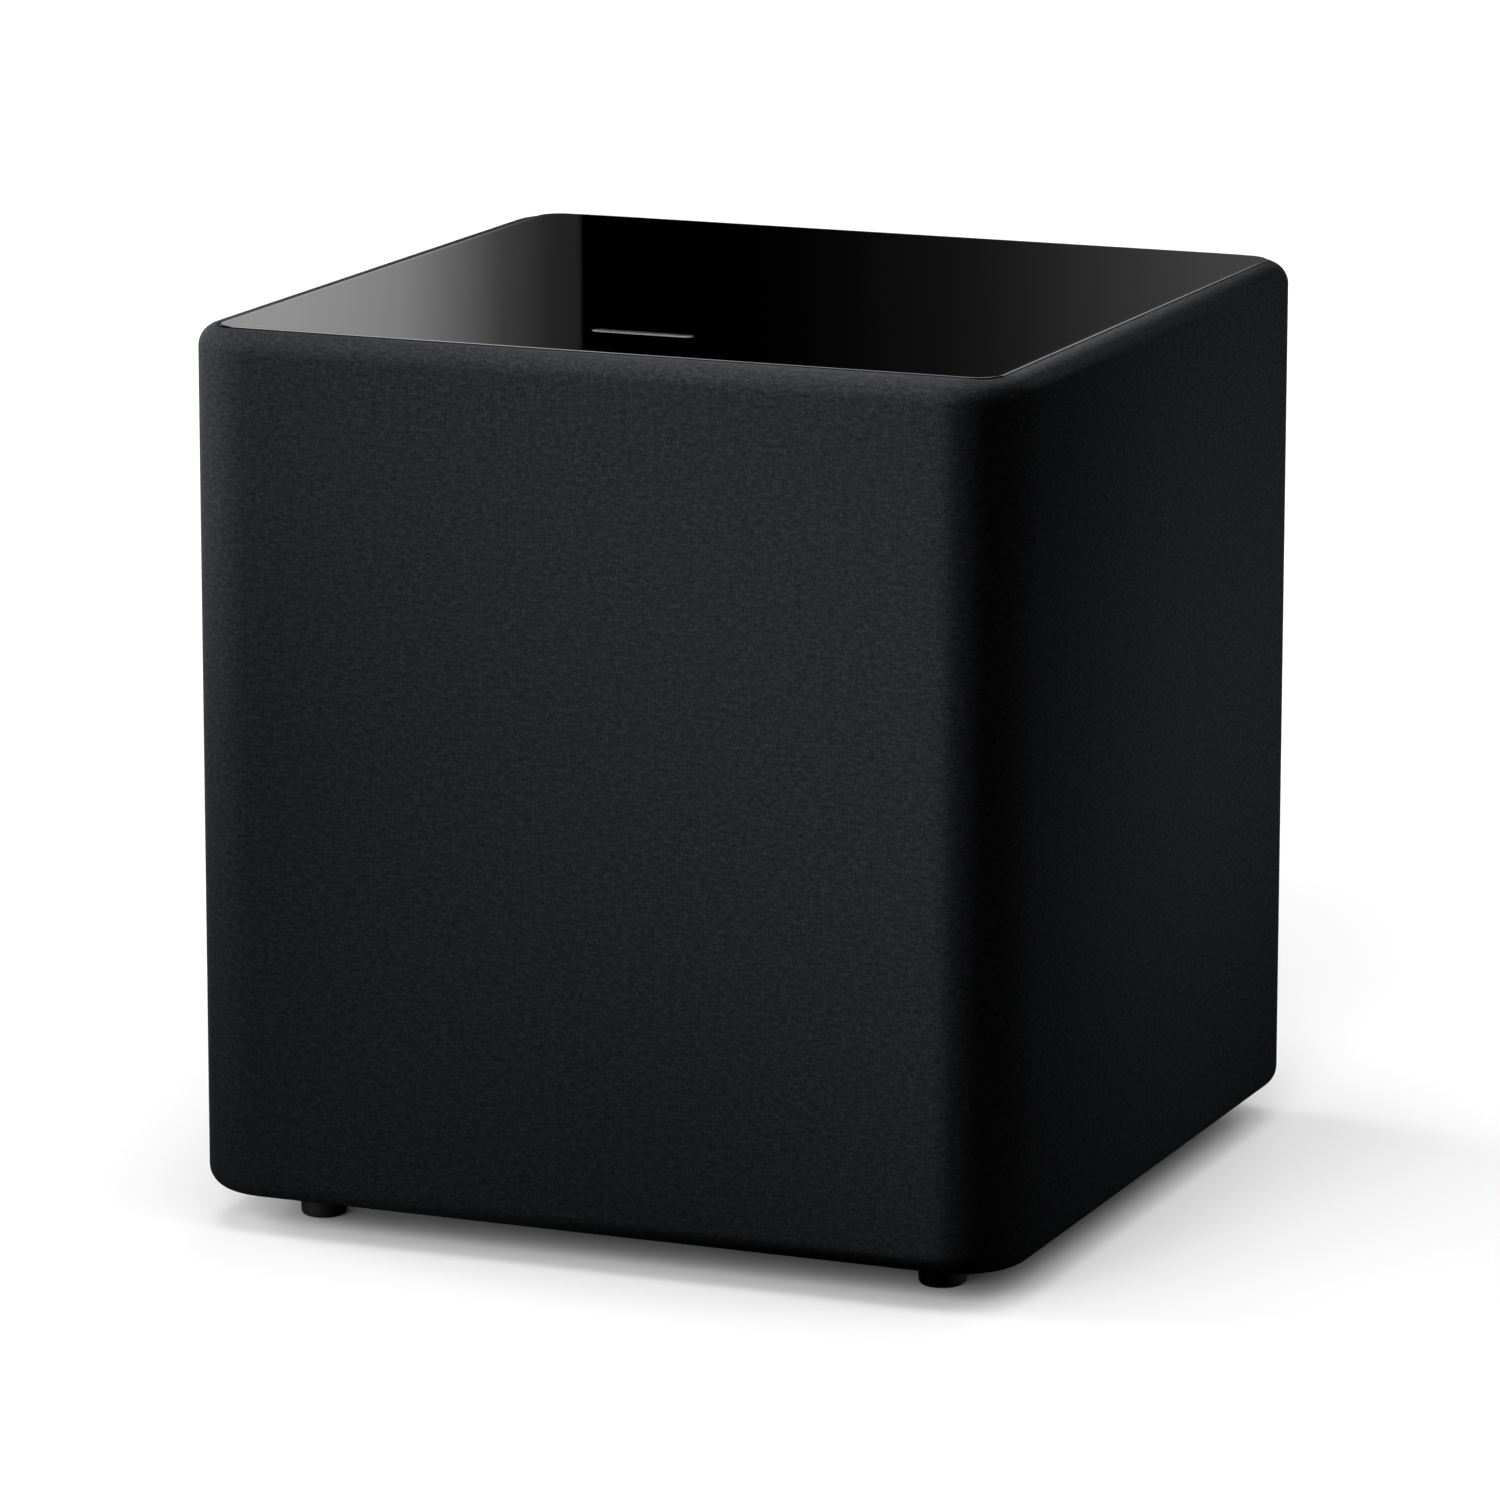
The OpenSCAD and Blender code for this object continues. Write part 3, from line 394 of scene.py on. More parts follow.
def lamp_material():
    t = Tree("lamp_lens_glow")
    obj = t.coords()
    n = t.noise(obj, 900, 2, 0.5)
    t.set(Base_Color=t.ramp(n, [(0.3, (0.55, 0.60, 0.66)), (0.7, (0.80, 0.86, 0.92))]), Roughness=t.span(n, 0.3, 0.7, 0.15, 0.3))
    t.bsdf.inputs["Transmission Weight"].default_value = 0.3
    return t.mat


M = {
    "cloth": cloth_material(),
    "gloss_panel": gloss_material(),
    "cabinet_board": board_material("fibreboard", (0.33, 0.235, 0.15)),
    "baffle_board": board_material("fibreboard_black", (0.018, 0.018, 0.019)),
    "base_plastic": plastic_material("base_plate_plastic", (0.014, 0.014, 0.0145), 0.55, 1500, 0.00007),
    "grille_plastic": plastic_material("grille_plastic_moulded", (0.016, 0.016, 0.017), 0.5, 1500, 0.00006),
    "padding": fibre_material("polyester_wadding", (0.74, 0.73, 0.70), 150, 0.95, 0.3),
    "rubber_black": rubber_material("rubber_matt"),
    "screw_black": metal_material("screw_black_oxide", (0.055, 0.055, 0.058), 0.38, None, 0.3),
    "brass_parts": metal_material("brass_turned", (0.72, 0.52, 0.22), 0.24, (1, 1, 6), 0.15),
    "gold_contacts": metal_material("gold_plate", (0.90, 0.62, 0.22), 0.15, (6, 1, 6), 0.1),
    "basket_paint": powder_material("basket_powder_coat", (0.022, 0.022, 0.024), 0.5),
    "trim_plastic": plastic_material("trim_ring_plastic", (0.014, 0.014, 0.014), 0.38, 1500, 0.00003),
    "surround_rubber": rubber_material("surround_butyl", (0.012, 0.012, 0.0125), 0.45, 1100),
    "cone_paper": fibre_material("cone_pressed_fibre", (0.030, 0.031, 0.033), 420, 0.7, 0.1),
    "former_film": plastic_material("former_polyimide", (0.52, 0.26, 0.06), 0.28, 900, 0.00002),
    "copper_winding": copper_wire(),
    "spider_cloth": fibre_material("spider_cotton", (0.52, 0.31, 0.09), 700, 0.85, 0.2),
    "motor_steel": metal_material("zinc_plated_steel", (0.56, 0.57, 0.60), 0.27, (8, 1, 8), 0.2),
    "ferrite": ferrite_material(),
    "wire_insulation": rubber_material("wire_pvc", (0.24, 0.014, 0.010), 0.42, 600),
    "amp_plate_paint": powder_material("amp_plate_powder_coat", (0.020, 0.0205, 0.022), 0.47, 1500),
    "heat_sink_black": powder_material("heat_sink_anodised", (0.018, 0.018, 0.019), 0.36, 1900),
    "enclosure_steel": metal_material("enclosure_zinc", (0.16, 0.165, 0.18), 0.4, (1, 1, 7), 0.25),
    "circuit_board": board_green(),
    "transformer_tape": tape_material(),
    "knob_plastic": plastic_material("knob_soft_plastic", (0.016, 0.016, 0.017), 0.42, 2200, 0.00002),
    "shaft_metal": metal_material("shaft_aluminium", (0.80, 0.81, 0.83), 0.25, (1, 9, 1), 0.1),
    "switch_metal": metal_material("tinned_steel", (0.62, 0.63, 0.64), 0.33, (1, 1, 5), 0.2),
    "lever_plastic": plastic_material("lever_grey_plastic", (0.42, 0.425, 0.43), 0.42, 2000, 0.00002),
    "insulator_white": plastic_material("insulator_nylon", (0.78, 0.78, 0.75), 0.45, 1600, 0.00003),
    "terminal_plastic": plastic_material("terminal_nylon", (0.018, 0.018, 0.019), 0.4, 1500, 0.00003),
    "inlet_plastic": plastic_material("inlet_thermoplastic", (0.013, 0.013, 0.0135), 0.36, 1700, 0.00003),
    "rocker_plastic": plastic_material("rocker_polished", (0.012, 0.012, 0.0125), 0.16, 800, 0.00001, 0.6),
    "lamp_lens": lamp_material(),
}

slot_of = {s["node"]: s["material_slot"] for s in frame["record"]["subparts"]}
for name, obj in frame["nodes"].items():
    obj.data.materials.clear()
    obj.data.materials.append(M[slot_of[name]])


# ------------------------------------------------------------------ mesh helpers
def add_mesh(name, verts, faces, mat=None, smooth=True):
    me = bpy.data.meshes.new(name)
    me.from_pydata([tuple(v) for v in verts], [], faces)
    me.update()
    obj = bpy.data.objects.new(name, me)
    bpy.context.scene.collection.objects.link(obj)
    if mat is not None:
        me.materials.append(mat)
    if smooth:
        me.polygons.foreach_set("use_smooth", [True] * len(me.polygons))
    return obj


def rounded_path(width, depth, radius, straight_cuts, arc_steps):
    """Points round a rounded rectangle, anticlockwise from the middle of the front edge.

    Yields (corner-centre-relative direction, base point, arc length) so that any inset can be taken.
    straight_cuts maps a side number to extra cut positions along it, from -1 to 1."""
    hw, hd = width / 2 - radius, depth / 2 - radius
    sides = [((0, -1), (1, 0), hw, hd), ((1, 0), (0, 1), hd, hw), ((0, 1), (-1, 0), hw, hd), ((-1, 0), (0, -1), hd, hw)]
    out, length = [], 0.0
    for k, (n, t, half, off) in enumerate(sides):
        cuts = sorted(set(straight_cuts.get(k, [])) | {-1.0, 1.0})
        fine = []
        for a, b in zip(cuts, cuts[1:]):
            steps = max(1, round((b - a) * half / 0.012))
            fine += [a + (b - a) * i / steps for i in range(steps)]
        fine.append(1.0)
        for f in fine:
            base = Vector((n[0] * off + t[0] * half * f, n[1] * off + t[1] * half * f))
            out.append((Vector(n), base, length + (f + 1) * half))
        length += 2 * half
        corner = Vector((n[0] * off + t[0] * half, n[1] * off + t[1] * half))
        a0 = math.atan2(n[1], n[0])
        for i in range(1, arc_steps):
            a = a0 + math.pi / 2 * i / arc_steps
            out.append((Vector((math.cos(a), math.sin(a))), corner, length + radius * math.pi / 2 * i / arc_steps))
        length += radius * math.pi / 2
    return out, length


# ------------------------------------------------------------------ cloth cover
def build_cloth():
    open_x, open_z = 0.1215, 0.1465
    half = c1 = W / 2 - CORNER
    path, girth = rounded_path(W, D, CORNER, {2: [-open_x / half, 0.0, open_x / half]}, 14)
    a1 = math.acos((EDGE - TUCK) / EDGE)
    prof = [(TUCK, Z0 + 0.0034), (TUCK, Z0 + 0.0018)]
    n = 10
    for i in range(n + 1):
        a = -a1 + a1 * i / n
        prof.append((EDGE - EDGE * math.cos(a), Z0 + EDGE + EDGE * math.sin(a)))
    lo, hi = Z0 + EDGE, Z1 - EDGE
    rows = [lo, CZ - open_z, CZ + open_z, hi]
    for a, b in zip(rows, rows[1:]):
        steps = max(1, round((b - a) / 0.012))
        for i in range(1, steps + 1):
            if b == hi and i == steps:
                continue
            prof.append((0.0, a + (b - a) * i / steps))
    vlen = [0.0]
    for p, q in zip(prof, prof[1:]):
        vlen.append(vlen[-1] + math.hypot(q[0] - p[0], q[1] - p[1]))
    verts = []
    for inset, z in prof:
        for nrm, base, s in path:
            p = base + nrm * (CORNER - inset)
            verts.append((p.x, p.y + CY, z))
    # over the top edge, across the narrow shelf and down beside the panel
    c2 = W / 2 - LIP - PANEL_R
    grow = c2 / (W / 2 - CORNER)
    top_rows = 16
    last_v = vlen[-1]
    for j in range(top_rows + 5):
        for nrm, base, s in path:
            open_p = base * grow + nrm * PANEL_R
            rel = open_p - base
            along = rel.dot(nrm)
            q = rel - nrm * along
            end = CORNER - along
            if j <= top_rows:
                ang = math.pi / 2 * j / top_rows
                inset = (end - 0.0006) * (1 - math.cos(ang))
                drop = 0.0
            else:
                k = j - top_rows
                inset = (end - 0.00025, end, end, end)[k - 1]
                drop = (0.0001, 0.0006, 0.0018, 0.0034)[k - 1]
            w = min(1.0, inset / end) ** 2
            p = base + nrm * (CORNER - inset) + q * w
            away = p - Vector((max(-c1, min(c1, p.x)), max(-c1, min(c1, p.y))))
            true = CORNER - away.length
            z = Z1 - drop if true >= EDGE else Z1 - EDGE + math.sqrt(max(0.0, EDGE ** 2 - (EDGE - true) ** 2)) - drop
            verts.append((p.x, p.y + CY, z))
        if j <= top_rows:
            ang = math.pi / 2 * j / top_rows
            ins = (W / 2 - c2 - PANEL_R - 0.0006) * (1 - math.cos(ang))
            rise = math.sqrt(max(0.0, EDGE ** 2 - max(0.0, EDGE - ins) ** 2))
            if j == 0:
                px, pz = ins, rise
            last_v += math.hypot(ins - px, rise - pz) if j else 0.012
            px, pz = ins, rise
        else:
            last_v += (0.0004, 0.0006, 0.0012, 0.0016)[j - top_rows - 1]
        vlen.append(last_v)
        prof.append((0.001 + j, Z1))
    cols, nrows = len(path), len(prof)
    faces, uvs = [], []
    for j in range(nrows - 1):
        zm = (prof[j][1] + prof[j + 1][1]) / 2
        for i in range(cols):
            k = (i + 1) % cols
            xm = (path[i][1].x + path[k][1].x) / 2
            back = path[i][0].y > 0.999 and path[k][0].y > 0.999
            if back and abs(xm) < open_x and abs(zm - CZ) < open_z and prof[j][0] == 0.0 == prof[j + 1][0]:
                continue
            faces.append((j * cols + i, j * cols + k, (j + 1) * cols + k, (j + 1) * cols + i))
            s0, s1 = path[i][2], (path[k][2] if k else girth)
            uvs += [(s0, vlen[j]), (s1, vlen[j]), (s1, vlen[j + 1]), (s0, vlen[j + 1])]
    obj = add_mesh("cloth_sleeve", verts, faces, M["cloth"])
    layer = obj.data.uv_layers.new(name="cloth")
    for i, c in enumerate(uvs):
        layer.data[i].uv = c
    sol = obj.modifiers.new("thickness", "SOLIDIFY")
    sol.thickness = 0.0011
    sol.offset = -1.0
    sol.use_even_offset = True
    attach(obj, "root")
    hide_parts("cloth_cover")
    return obj


cloth = build_cloth()


# ------------------------------------------------------------------ turned pieces
def revolve(name, profile, place, mat, steps=96, closed=True, smooth=True):
    """Spins a profile of (radius, height) and places each point with place(x, y, h)."""
    n = len(profile)
    verts, faces = [], []
    for k in range(steps):
        a = 2 * math.pi * k / steps
        for r, h in profile:
            verts.append(place(r * math.cos(a), r * math.sin(a), h))
    last = n if closed else n - 1
    for k in range(steps):
        m = (k + 1) % steps
        for i in range(last):
            j = (i + 1) % n
            faces.append((k * n + i, m * n + i, m * n + j, k * n + j))
    return add_mesh(name, verts, faces, mat, smooth)


def arc_pts(cx, cy, r, a0, a1, n):
    return [(cx + r * math.cos(math.radians(a0 + (a1 - a0) * i / n)), cy + r * math.sin(math.radians(a0 + (a1 - a0) * i / n))) for i in range(n + 1)]


def sharp_smooth(obj, degrees=35.0):
    """Smooth shading with the sharp edges kept."""
    me = obj.data
    me.polygons.foreach_set("use_smooth", [True] * len(me.polygons))
    me.set_sharp_from_angle(angle=math.radians(degrees))


# four rubber feet, softly rounded at the floor and at the base
def build_feet():
    foot_h = BASE_LO.z
    r_hi, r_lo, bore, sink = 0.0112, 0.0103, 0.0054, 0.0060
    prof = [(0.0034, sink), (bore - 0.0006, sink), (bore, sink - 0.0006), (bore, 0.0006)]
    prof += arc_pts(bore + 0.0006, 0.0006, 0.0006, 180, 270, 4)
    prof += arc_pts(r_lo - 0.0020, 0.0020, 0.0020, -90, 0, 8)
    prof += [(r_lo + (r_hi - r_lo) * k, 0.0020 + (foot_h - 0.0032) * k) for k in (0.25, 0.5, 0.75)]
    prof += arc_pts(r_hi - 0.0008, foot_h - 0.0008, 0.0008, 0, 90, 5)
    prof += [(0.0034, foot_h)]
    made = []
    for x in (-1, 1):
        for y in (-1, 1):
            cx, cy = x * (W / 2 - 0.047), CY + y * (D / 2 - 0.047)
            o = revolve("foot", prof, lambda a, b, h, cx=cx, cy=cy: (cx + a, cy + b, h), M["rubber_black"], 64)
            made.append(o)
    bm = bmesh.new()
    for o in made:
        bm.from_mesh(o.data)
        bpy.data.objects.remove(o)
    me = bpy.data.meshes.new("rubber_feet")
    bmesh.ops.recalc_face_normals(bm, faces=bm.faces)
    bm.to_mesh(me)
    bm.free()
    obj = bpy.data.objects.new("rubber_feet", me)
    bpy.context.scene.collection.objects.link(obj)
    me.materials.append(M["rubber_black"])
    sharp_smooth(obj, 50)
    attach(obj, "root")
    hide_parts("foot_pads")
    return obj


feet = build_feet()

# gloss top panel with a polished, softly rounded edge
def build_panel():
    lo, hi = PANEL_LO, PANEL_HI
    w, d, r = hi.x - lo.x, hi.y - lo.y, 0.012
    path, girth = rounded_path(w, d, r, {}, 16)
    rr = 0.0010
    prof = [(0.0004, lo.z), (0.0, lo.z + 0.0004), (0.0, hi.z - rr)]
    prof += [(rr - rr * math.cos(math.radians(a)), hi.z - rr + rr * math.sin(math.radians(a))) for a in (11, 22, 33, 45, 56, 67, 78, 90)]
    prof += [(0.0040, hi.z), (0.0115, hi.z)]
    n = len(path)
    verts, faces = [], []
    for inset, z in prof:
        for nrm, base, s in path:
            q = base + nrm * (r - inset)
            verts.append((q.x, q.y + CY, z))
    for j in range(len(prof) - 1):
        for i in range(n):
            k = (i + 1) % n
            faces.append((j * n + i, j * n + k, (j + 1) * n + k, (j + 1) * n + i))
    faces.append(tuple((len(prof) - 1) * n + i for i in range(n)))
    faces.append(tuple(range(n - 1, -1, -1)))
    obj = add_mesh("gloss_panel", verts, faces, M["gloss_panel"])
    sharp_smooth(obj, 40)
    # a plain satin bar let into the front of the panel
    bar_w, bar_d, cy = 0.0480, 0.0064, lo.y + 0.0530
    pts = []
    for sx, a0 in ((1, -90), (-1, 90)):
        pts += [(sx * (bar_w - bar_d) / 2 + bar_d / 2 * math.cos(math.radians(a0 + 180 * i / 10)), bar_d / 2 * math.sin(math.radians(a0 + 180 * i / 10))) for i in range(11)]
    verts, faces = [], []
    m = len(pts)
    for grow, z in ((1.0, hi.z - 0.0003), (1.0, hi.z + 0.00008), (0.93, hi.z + 0.00018)):
        verts += [(x - (0.00014 if x > 0 else -0.00014) * (grow < 1), cy + y * grow, z) for x, y in pts]
    for j in range(2):
        for i in range(m):
            k = (i + 1) % m
            faces.append((j * m + i, j * m + k, (j + 1) * m + k, (j + 1) * m + i))
    faces.append(tuple(2 * m + i for i in range(m)))
    faces.append(tuple(range(m - 1, -1, -1)))
    bar = add_mesh("panel_inlay_bar", verts, faces, M["inlay"])
    sharp_smooth(bar, 30)
    for o in (obj, bar):
        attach(o, "root")
        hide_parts("top_panel")


def inlay_material():
    t = Tree("inlay_satin")
    fine = t.noise(t.coords("Object", (40, 900, 1)), 6, 3, 0.6)
    t.set(Base_Color=t.ramp(fine, [(0.3, (0.105, 0.1065, 0.109)), (0.7, (0.150, 0.152, 0.155))]), Metallic=1.0, Roughness=t.span(fine, 0.3, 0.7, 0.28, 0.38))
    t.bump(fine, 0.000006, 0.4)
    return t.mat


M["inlay"] = inlay_material()
build_panel()

# ------------------------------------------------------------------ driver's soft parts
BK_LO, BK_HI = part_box("basket")
YB = BK_LO.y                              # the flange's front face


def driver_place(x, y, h):
    return (x, YB - h, CZ + y)


def radial_blend(obj):
    """Bakes the part's placement into its mesh."""
    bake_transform(obj)


def build_surround():
    k = 0.001
    prof = [(113, 0.05), (116, 0.05), (119, 0.05)] + arc_pts(129.65, 0.6, 9.05, 178, 2, 26)
    prof += [(139.7, 0.05), (142.5, 0.05), (145.9, 0.05), (145.9, 1.2), (142.5, 1.2), (140.1, 1.2)]
    prof += arc_pts(129.65, 1.2, 9.85, 0, 180, 26)[1:-1] + [(119.2, 1.15), (116, 1.15), (113, 1.15)]
    obj = revolve("rubber_surround", [(r * k, h * k) for r, h in prof], driver_place, M["surround_rubber"], 128)
    sharp_smooth(obj, 60)
    radial_blend(obj)
    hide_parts("surround")


def build_spider():
    k = 0.001
    up, dn = [], []
    n = 96
    for i in range(n + 1):
        r = 30 + 48 * i / n
        wave = 2.4 * math.sin(math.radians((r - 30) * 30))
        up.append((r, -58.4 + wave))
        dn.append((r, -59.4 + wave))
    prof = [(25.7, -58.4), (28, -58.4)] + up + [(83, -58.4), (88, -58.4), (88, -59.38), (83, -59.38)] + dn[::-1] + [(28, -59.4), (25.7, -59.4)]
    obj = revolve("corrugated_spider", [(r * k, h * k) for r, h in prof], driver_place, M["spider_cloth"], 96)
    sharp_smooth(obj, 70)
    radial_blend(obj)
    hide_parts("spider")


def build_leads():
    """Braided leads: a bundle of twisted strands along the CAD route."""
    def bez(a, b, c, d, t):
        return [(1 - t) ** 3 * a[i] + 3 * (1 - t) ** 2 * t * b[i] + 3 * (1 - t) * t * t * c[i] + t ** 3 * d[i] for i in range(3)]
    verts, faces = [], []
    for s in (-1, 1):
        pts = [Vector(bez((s * 9, 97.9, -51), (s * 9, 98.5, -41), (s * 12, 66, -52), (s * 12, 59.5, -36.8), i / 60)) for i in range(61)]
        for strand in range(3):
            base = len(verts)
            for i, p in enumerate(pts):
                t = (pts[min(i + 1, 60)] - pts[max(i - 1, 0)]).normalized()
                u = t.cross(Vector((1, 0, 0))).normalized()
                v = t.cross(u)
                a = 2 * math.pi * (strand / 3 + i / 6.0)
                c = p + (u * math.cos(a) + v * math.sin(a)) * 0.36
                for q in range(6):
                    b = 2 * math.pi * q / 6
                    w = c + (u * math.cos(b) + v * math.sin(b)) * 0.34
                    verts.append(driver_place(w.x * 0.001, w.y * 0.001, w.z * 0.001))
            for i in range(60):
                for q in range(6):
                    r = (q + 1) % 6
                    faces.append((base + i * 6 + q, base + i * 6 + r, base + (i + 1) * 6 + r, base + (i + 1) * 6 + q))
            faces.append(tuple(base + q for q in range(5, -1, -1)))
            faces.append(tuple(base + 360 + q for q in range(6)))
    obj = add_mesh("braided_leads", verts, faces, M["copper_winding"])
    radial_blend(obj)
    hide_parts("tinsel_leads")


build_surround()
build_spider()
build_leads()


# ------------------------------------------------------------------ wadding inside the cabinet
def build_pads():
    lo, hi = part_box("damping_pads")
    t = 0.022
    y0, y1 = lo.y, hi.y
    boxes = [((lo.x, y0, lo.z), (lo.x + t, y1, hi.z - 0.0076)), ((hi.x - t, y0, lo.z), (hi.x, y1, hi.z - 0.0076)), ((-0.120, y0, hi.z - t), (0.120, y0 + 0.086, hi.z))]
    for k, (a, b) in enumerate(boxes):
        c = [(a[i] + b[i]) / 2 for i in range(3)]
        h = [(b[i] - a[i]) / 2 for i in range(3)]
        thin = h.index(min(h))
        bm = bmesh.new()
        bmesh.ops.create_cube(bm, size=2.0)
        bmesh.ops.subdivide_edges(bm, edges=bm.edges, cuts=22, use_grid_fill=True)
        rng = random.Random(20 + k)
        ph = [rng.uniform(0, 6.28) for _ in range(6)]
        for v in bm.verts:
            q = [v.co.x, v.co.y, v.co.z]
            o1, o2 = [i for i in range(3) if i != thin]
            # crowned middle, pulled-in rim
            rim = (1 - abs(q[o1]) ** 6) * (1 - abs(q[o2]) ** 6)
            lump = 0.06 * math.sin(7 * q[o1] + ph[0]) * math.sin(6 * q[o2] + ph[1]) + 0.05 * math.sin(13 * q[o1] + ph[2]) * math.sin(15 * q[o2] + ph[3])
            s = (0.35 + 0.55 * max(rim, 0.0) ** 0.35) * (1 - 0.1 + lump)
            q[thin] *= min(0.98, s)
            sq = 1.0 - 0.02 * (q[o1] ** 2 * q[o2] ** 2)
            q[o1] *= sq * 0.985
            q[o2] *= sq * 0.985
            v.co = [c[i] + q[i] * h[i] for i in range(3)]
        me = bpy.data.meshes.new("wadding_%d" % (k + 1))
        bm.to_mesh(me)
        bm.free()
        me.polygons.foreach_set("use_smooth", [True] * len(me.polygons))
        obj = bpy.data.objects.new("wadding_%d" % (k + 1), me)
        bpy.context.scene.collection.objects.link(obj)
        me.materials.append(M["padding"])
        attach(obj, "root")
        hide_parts("damping_pads")


build_pads()

# ------------------------------------------------------------------ marks on the amplifier plate
AP_LO, AP_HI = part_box("amp_plate")
YR = AP_LO.y                              # rear face of the cloth


def amp_place(x, y, h):
    """Millimetres as seen from behind: x right, y up, h out of the plate's front."""
    return Vector((-x * 0.001, AP_HI.y + h * 0.001, CZ + y * 0.001))


def print_material():
    t = Tree("plate_print")
    n = t.noise(t.coords(), 2500, 2, 0.6)
    t.set(Base_Color=t.ramp(n, [(0.3, (0.46, 0.47, 0.48)), (0.7, (0.62, 0.63, 0.64))]), Roughness=t.span(n, 0.3, 0.7, 0.5, 0.65))
    t.bump(n, 0.00001, 0.3)
    return t.mat


M["print"] = print_material()


class Marks:
    """Thin raised ink on the plate, built as closed slabs."""

    def __init__(self, thick=0.06):
        self.v, self.f, self.t = [], [], thick

    def poly(self, pts, lift=0.0):
        n, b = len(pts), len(self.v)
        for h in (lift + 0.004, lift + self.t):
            self.v += [amp_place(x, y, h) for x, y in pts]
        self.f.append(tuple(b + n + i for i in range(n)))
        self.f.append(tuple(b + i for i in range(n - 1, -1, -1)))
        for i in range(n):
            j = (i + 1) % n
            self.f.append((b + i, b + j, b + n + j, b + n + i))

    def bar(self, x0, y0, x1, y1, w, lift=0.0):
        d = Vector((x1 - x0, y1 - y0)).normalized()
        s = Vector((-d.y, d.x)) * w / 2
        self.poly([(x0 - s.x, y0 - s.y), (x1 - s.x, y1 - s.y), (x1 + s.x, y1 + s.y), (x0 + s.x, y0 + s.y)][::-1], lift)

    def ring(self, cx, cy, r, w, a0=0.0, a1=360.0, n=40, lift=0.0):
        for i in range(n):
            p, q = math.radians(a0 + (a1 - a0) * i / n), math.radians(a0 + (a1 - a0) * (i + 1) / n)
            self.poly([(cx + (r - w / 2) * math.cos(p), cy + (r - w / 2) * math.sin(p)), (cx + (r + w / 2) * math.cos(p), cy + (r + w / 2) * math.sin(p)), (cx + (r + w / 2) * math.cos(q), cy + (r + w / 2) * math.sin(q)), (cx + (r - w / 2) * math.cos(q), cy + (r - w / 2) * math.sin(q))], lift)

    def make(self, name):
        o = add_mesh(name, self.v, self.f, M["print"], False)
        bm = bmesh.new()
        bm.from_mesh(o.data)
        bmesh.ops.recalc_face_normals(bm, faces=bm.faces)
        bm.to_mesh(o.data)
        bm.free()
        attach(o, "root")
        return o


def build_marks():
    m = Marks()
    for cx in (-78, -26):
        for i in range(11):
            a = math.radians(90 + 150 - 30 * i)
            big = i in (0, 5, 10)
            m.bar(cx + 12.2 * math.cos(a), 18 + 12.2 * math.sin(a), cx + (15.4 if big else 14.2) * math.cos(a), 18 + (15.4 if big else 14.2) * math.sin(a), 0.75 if big else 0.45)
    # volume wedge and crossover slope symbols
    m.poly([(-86, 38), (-70, 42.5), (-70, 38)])
    m.bar(-34, 42, -27, 42, 0.6)
    m.bar(-27, 42, -21, 37.6, 0.6)
    # switch position dots
    for x, n in ((24, 2), (56, 3), (88, 2)):
        for i in range(n):
            px = x + (i - (n - 1) / 2) * (4 if n == 2 else 4)
            m.ring(px, 25.6, 0.55, 1.1, n=12)
        m.bar(x - 7, 10, x + 7, 10, 0.4)
    # input frame
    m.bar(-100, -31, -58, -31, 0.4)
    m.bar(-100, -53, -58, -53, 0.4)
    m.bar(-100.2, -31.2, -100.2, -52.8, 0.4)
    m.bar(-57.8, -31.2, -57.8, -52.8, 0.4)
    # speaker terminal polarity
    for x in (61.5, 75.5):
        m.bar(x - 1.6, -29.6, x + 1.6, -29.6, 0.5)
        m.bar(x, -28.0, x, -29.3, 0.5)
        m.bar(x, -29.9, x, -31.2, 0.5)
    for x in (68.5, 82.5):
        m.bar(x - 1.6, -29.6, x + 1.6, -29.6, 0.5)
    # mains symbols
    m.ring(34, -80.5, 2.6, 0.6, 120, 420, 30)
    m.bar(34, -80.3, 34, -76.9, 0.6)
    m.ring(56, 53, 1.0, 0.35, n=16)
    m.make("plate_print_marks")


build_marks()


# ------------------------------------------------------------------ stage and light
def build_stage():
    floor = add_mesh("stage_floor", [(-30, -30, 0), (30, -30, 0), (30, 30, 0), (-30, 30, 0)], [(0, 1, 2, 3)], None, False)
    t = Tree("stage_floor_white")
    n = t.noise(t.coords(), 0.5, 2, 0.5)
    t.set(Base_Color=t.ramp(n, [(0.0, (0.86, 0.86, 0.86)), (1.0, (0.88, 0.88, 0.88))]), Roughness=0.9)
    t.bsdf.inputs["Specular IOR Level"].default_value = 0.0
    floor.data.materials.append(t.mat)
    floor.visible_diffuse = False
    floor.visible_glossy = False

    world = bpy.data.worlds.new("world")
    bpy.context.scene.world = world
    world.use_nodes = True
    nt = world.node_tree
    nt.nodes.clear()
    out = nt.nodes.new("ShaderNodeOutputWorld")
    white = nt.nodes.new("ShaderNodeBackground")
    dim = nt.nodes.new("ShaderNodeBackground")
    mix = nt.nodes.new("ShaderNodeMixShader")
    ray = nt.nodes.new("ShaderNodeLightPath")
    white.inputs[0].default_value = (1, 1, 1, 1)
    white.inputs[1].default_value = 1.0
    dim.inputs[0].default_value = (0.9, 0.95, 1, 1)
    dim.inputs[1].default_value = 0.012
    nt.links.new(ray.outputs["Is Camera Ray"], mix.inputs[0])
    nt.links.new(dim.outputs[0], mix.inputs[1])
    nt.links.new(white.outputs[0], mix.inputs[2])
    nt.links.new(mix.outputs[0], out.inputs[0])


build_stage()

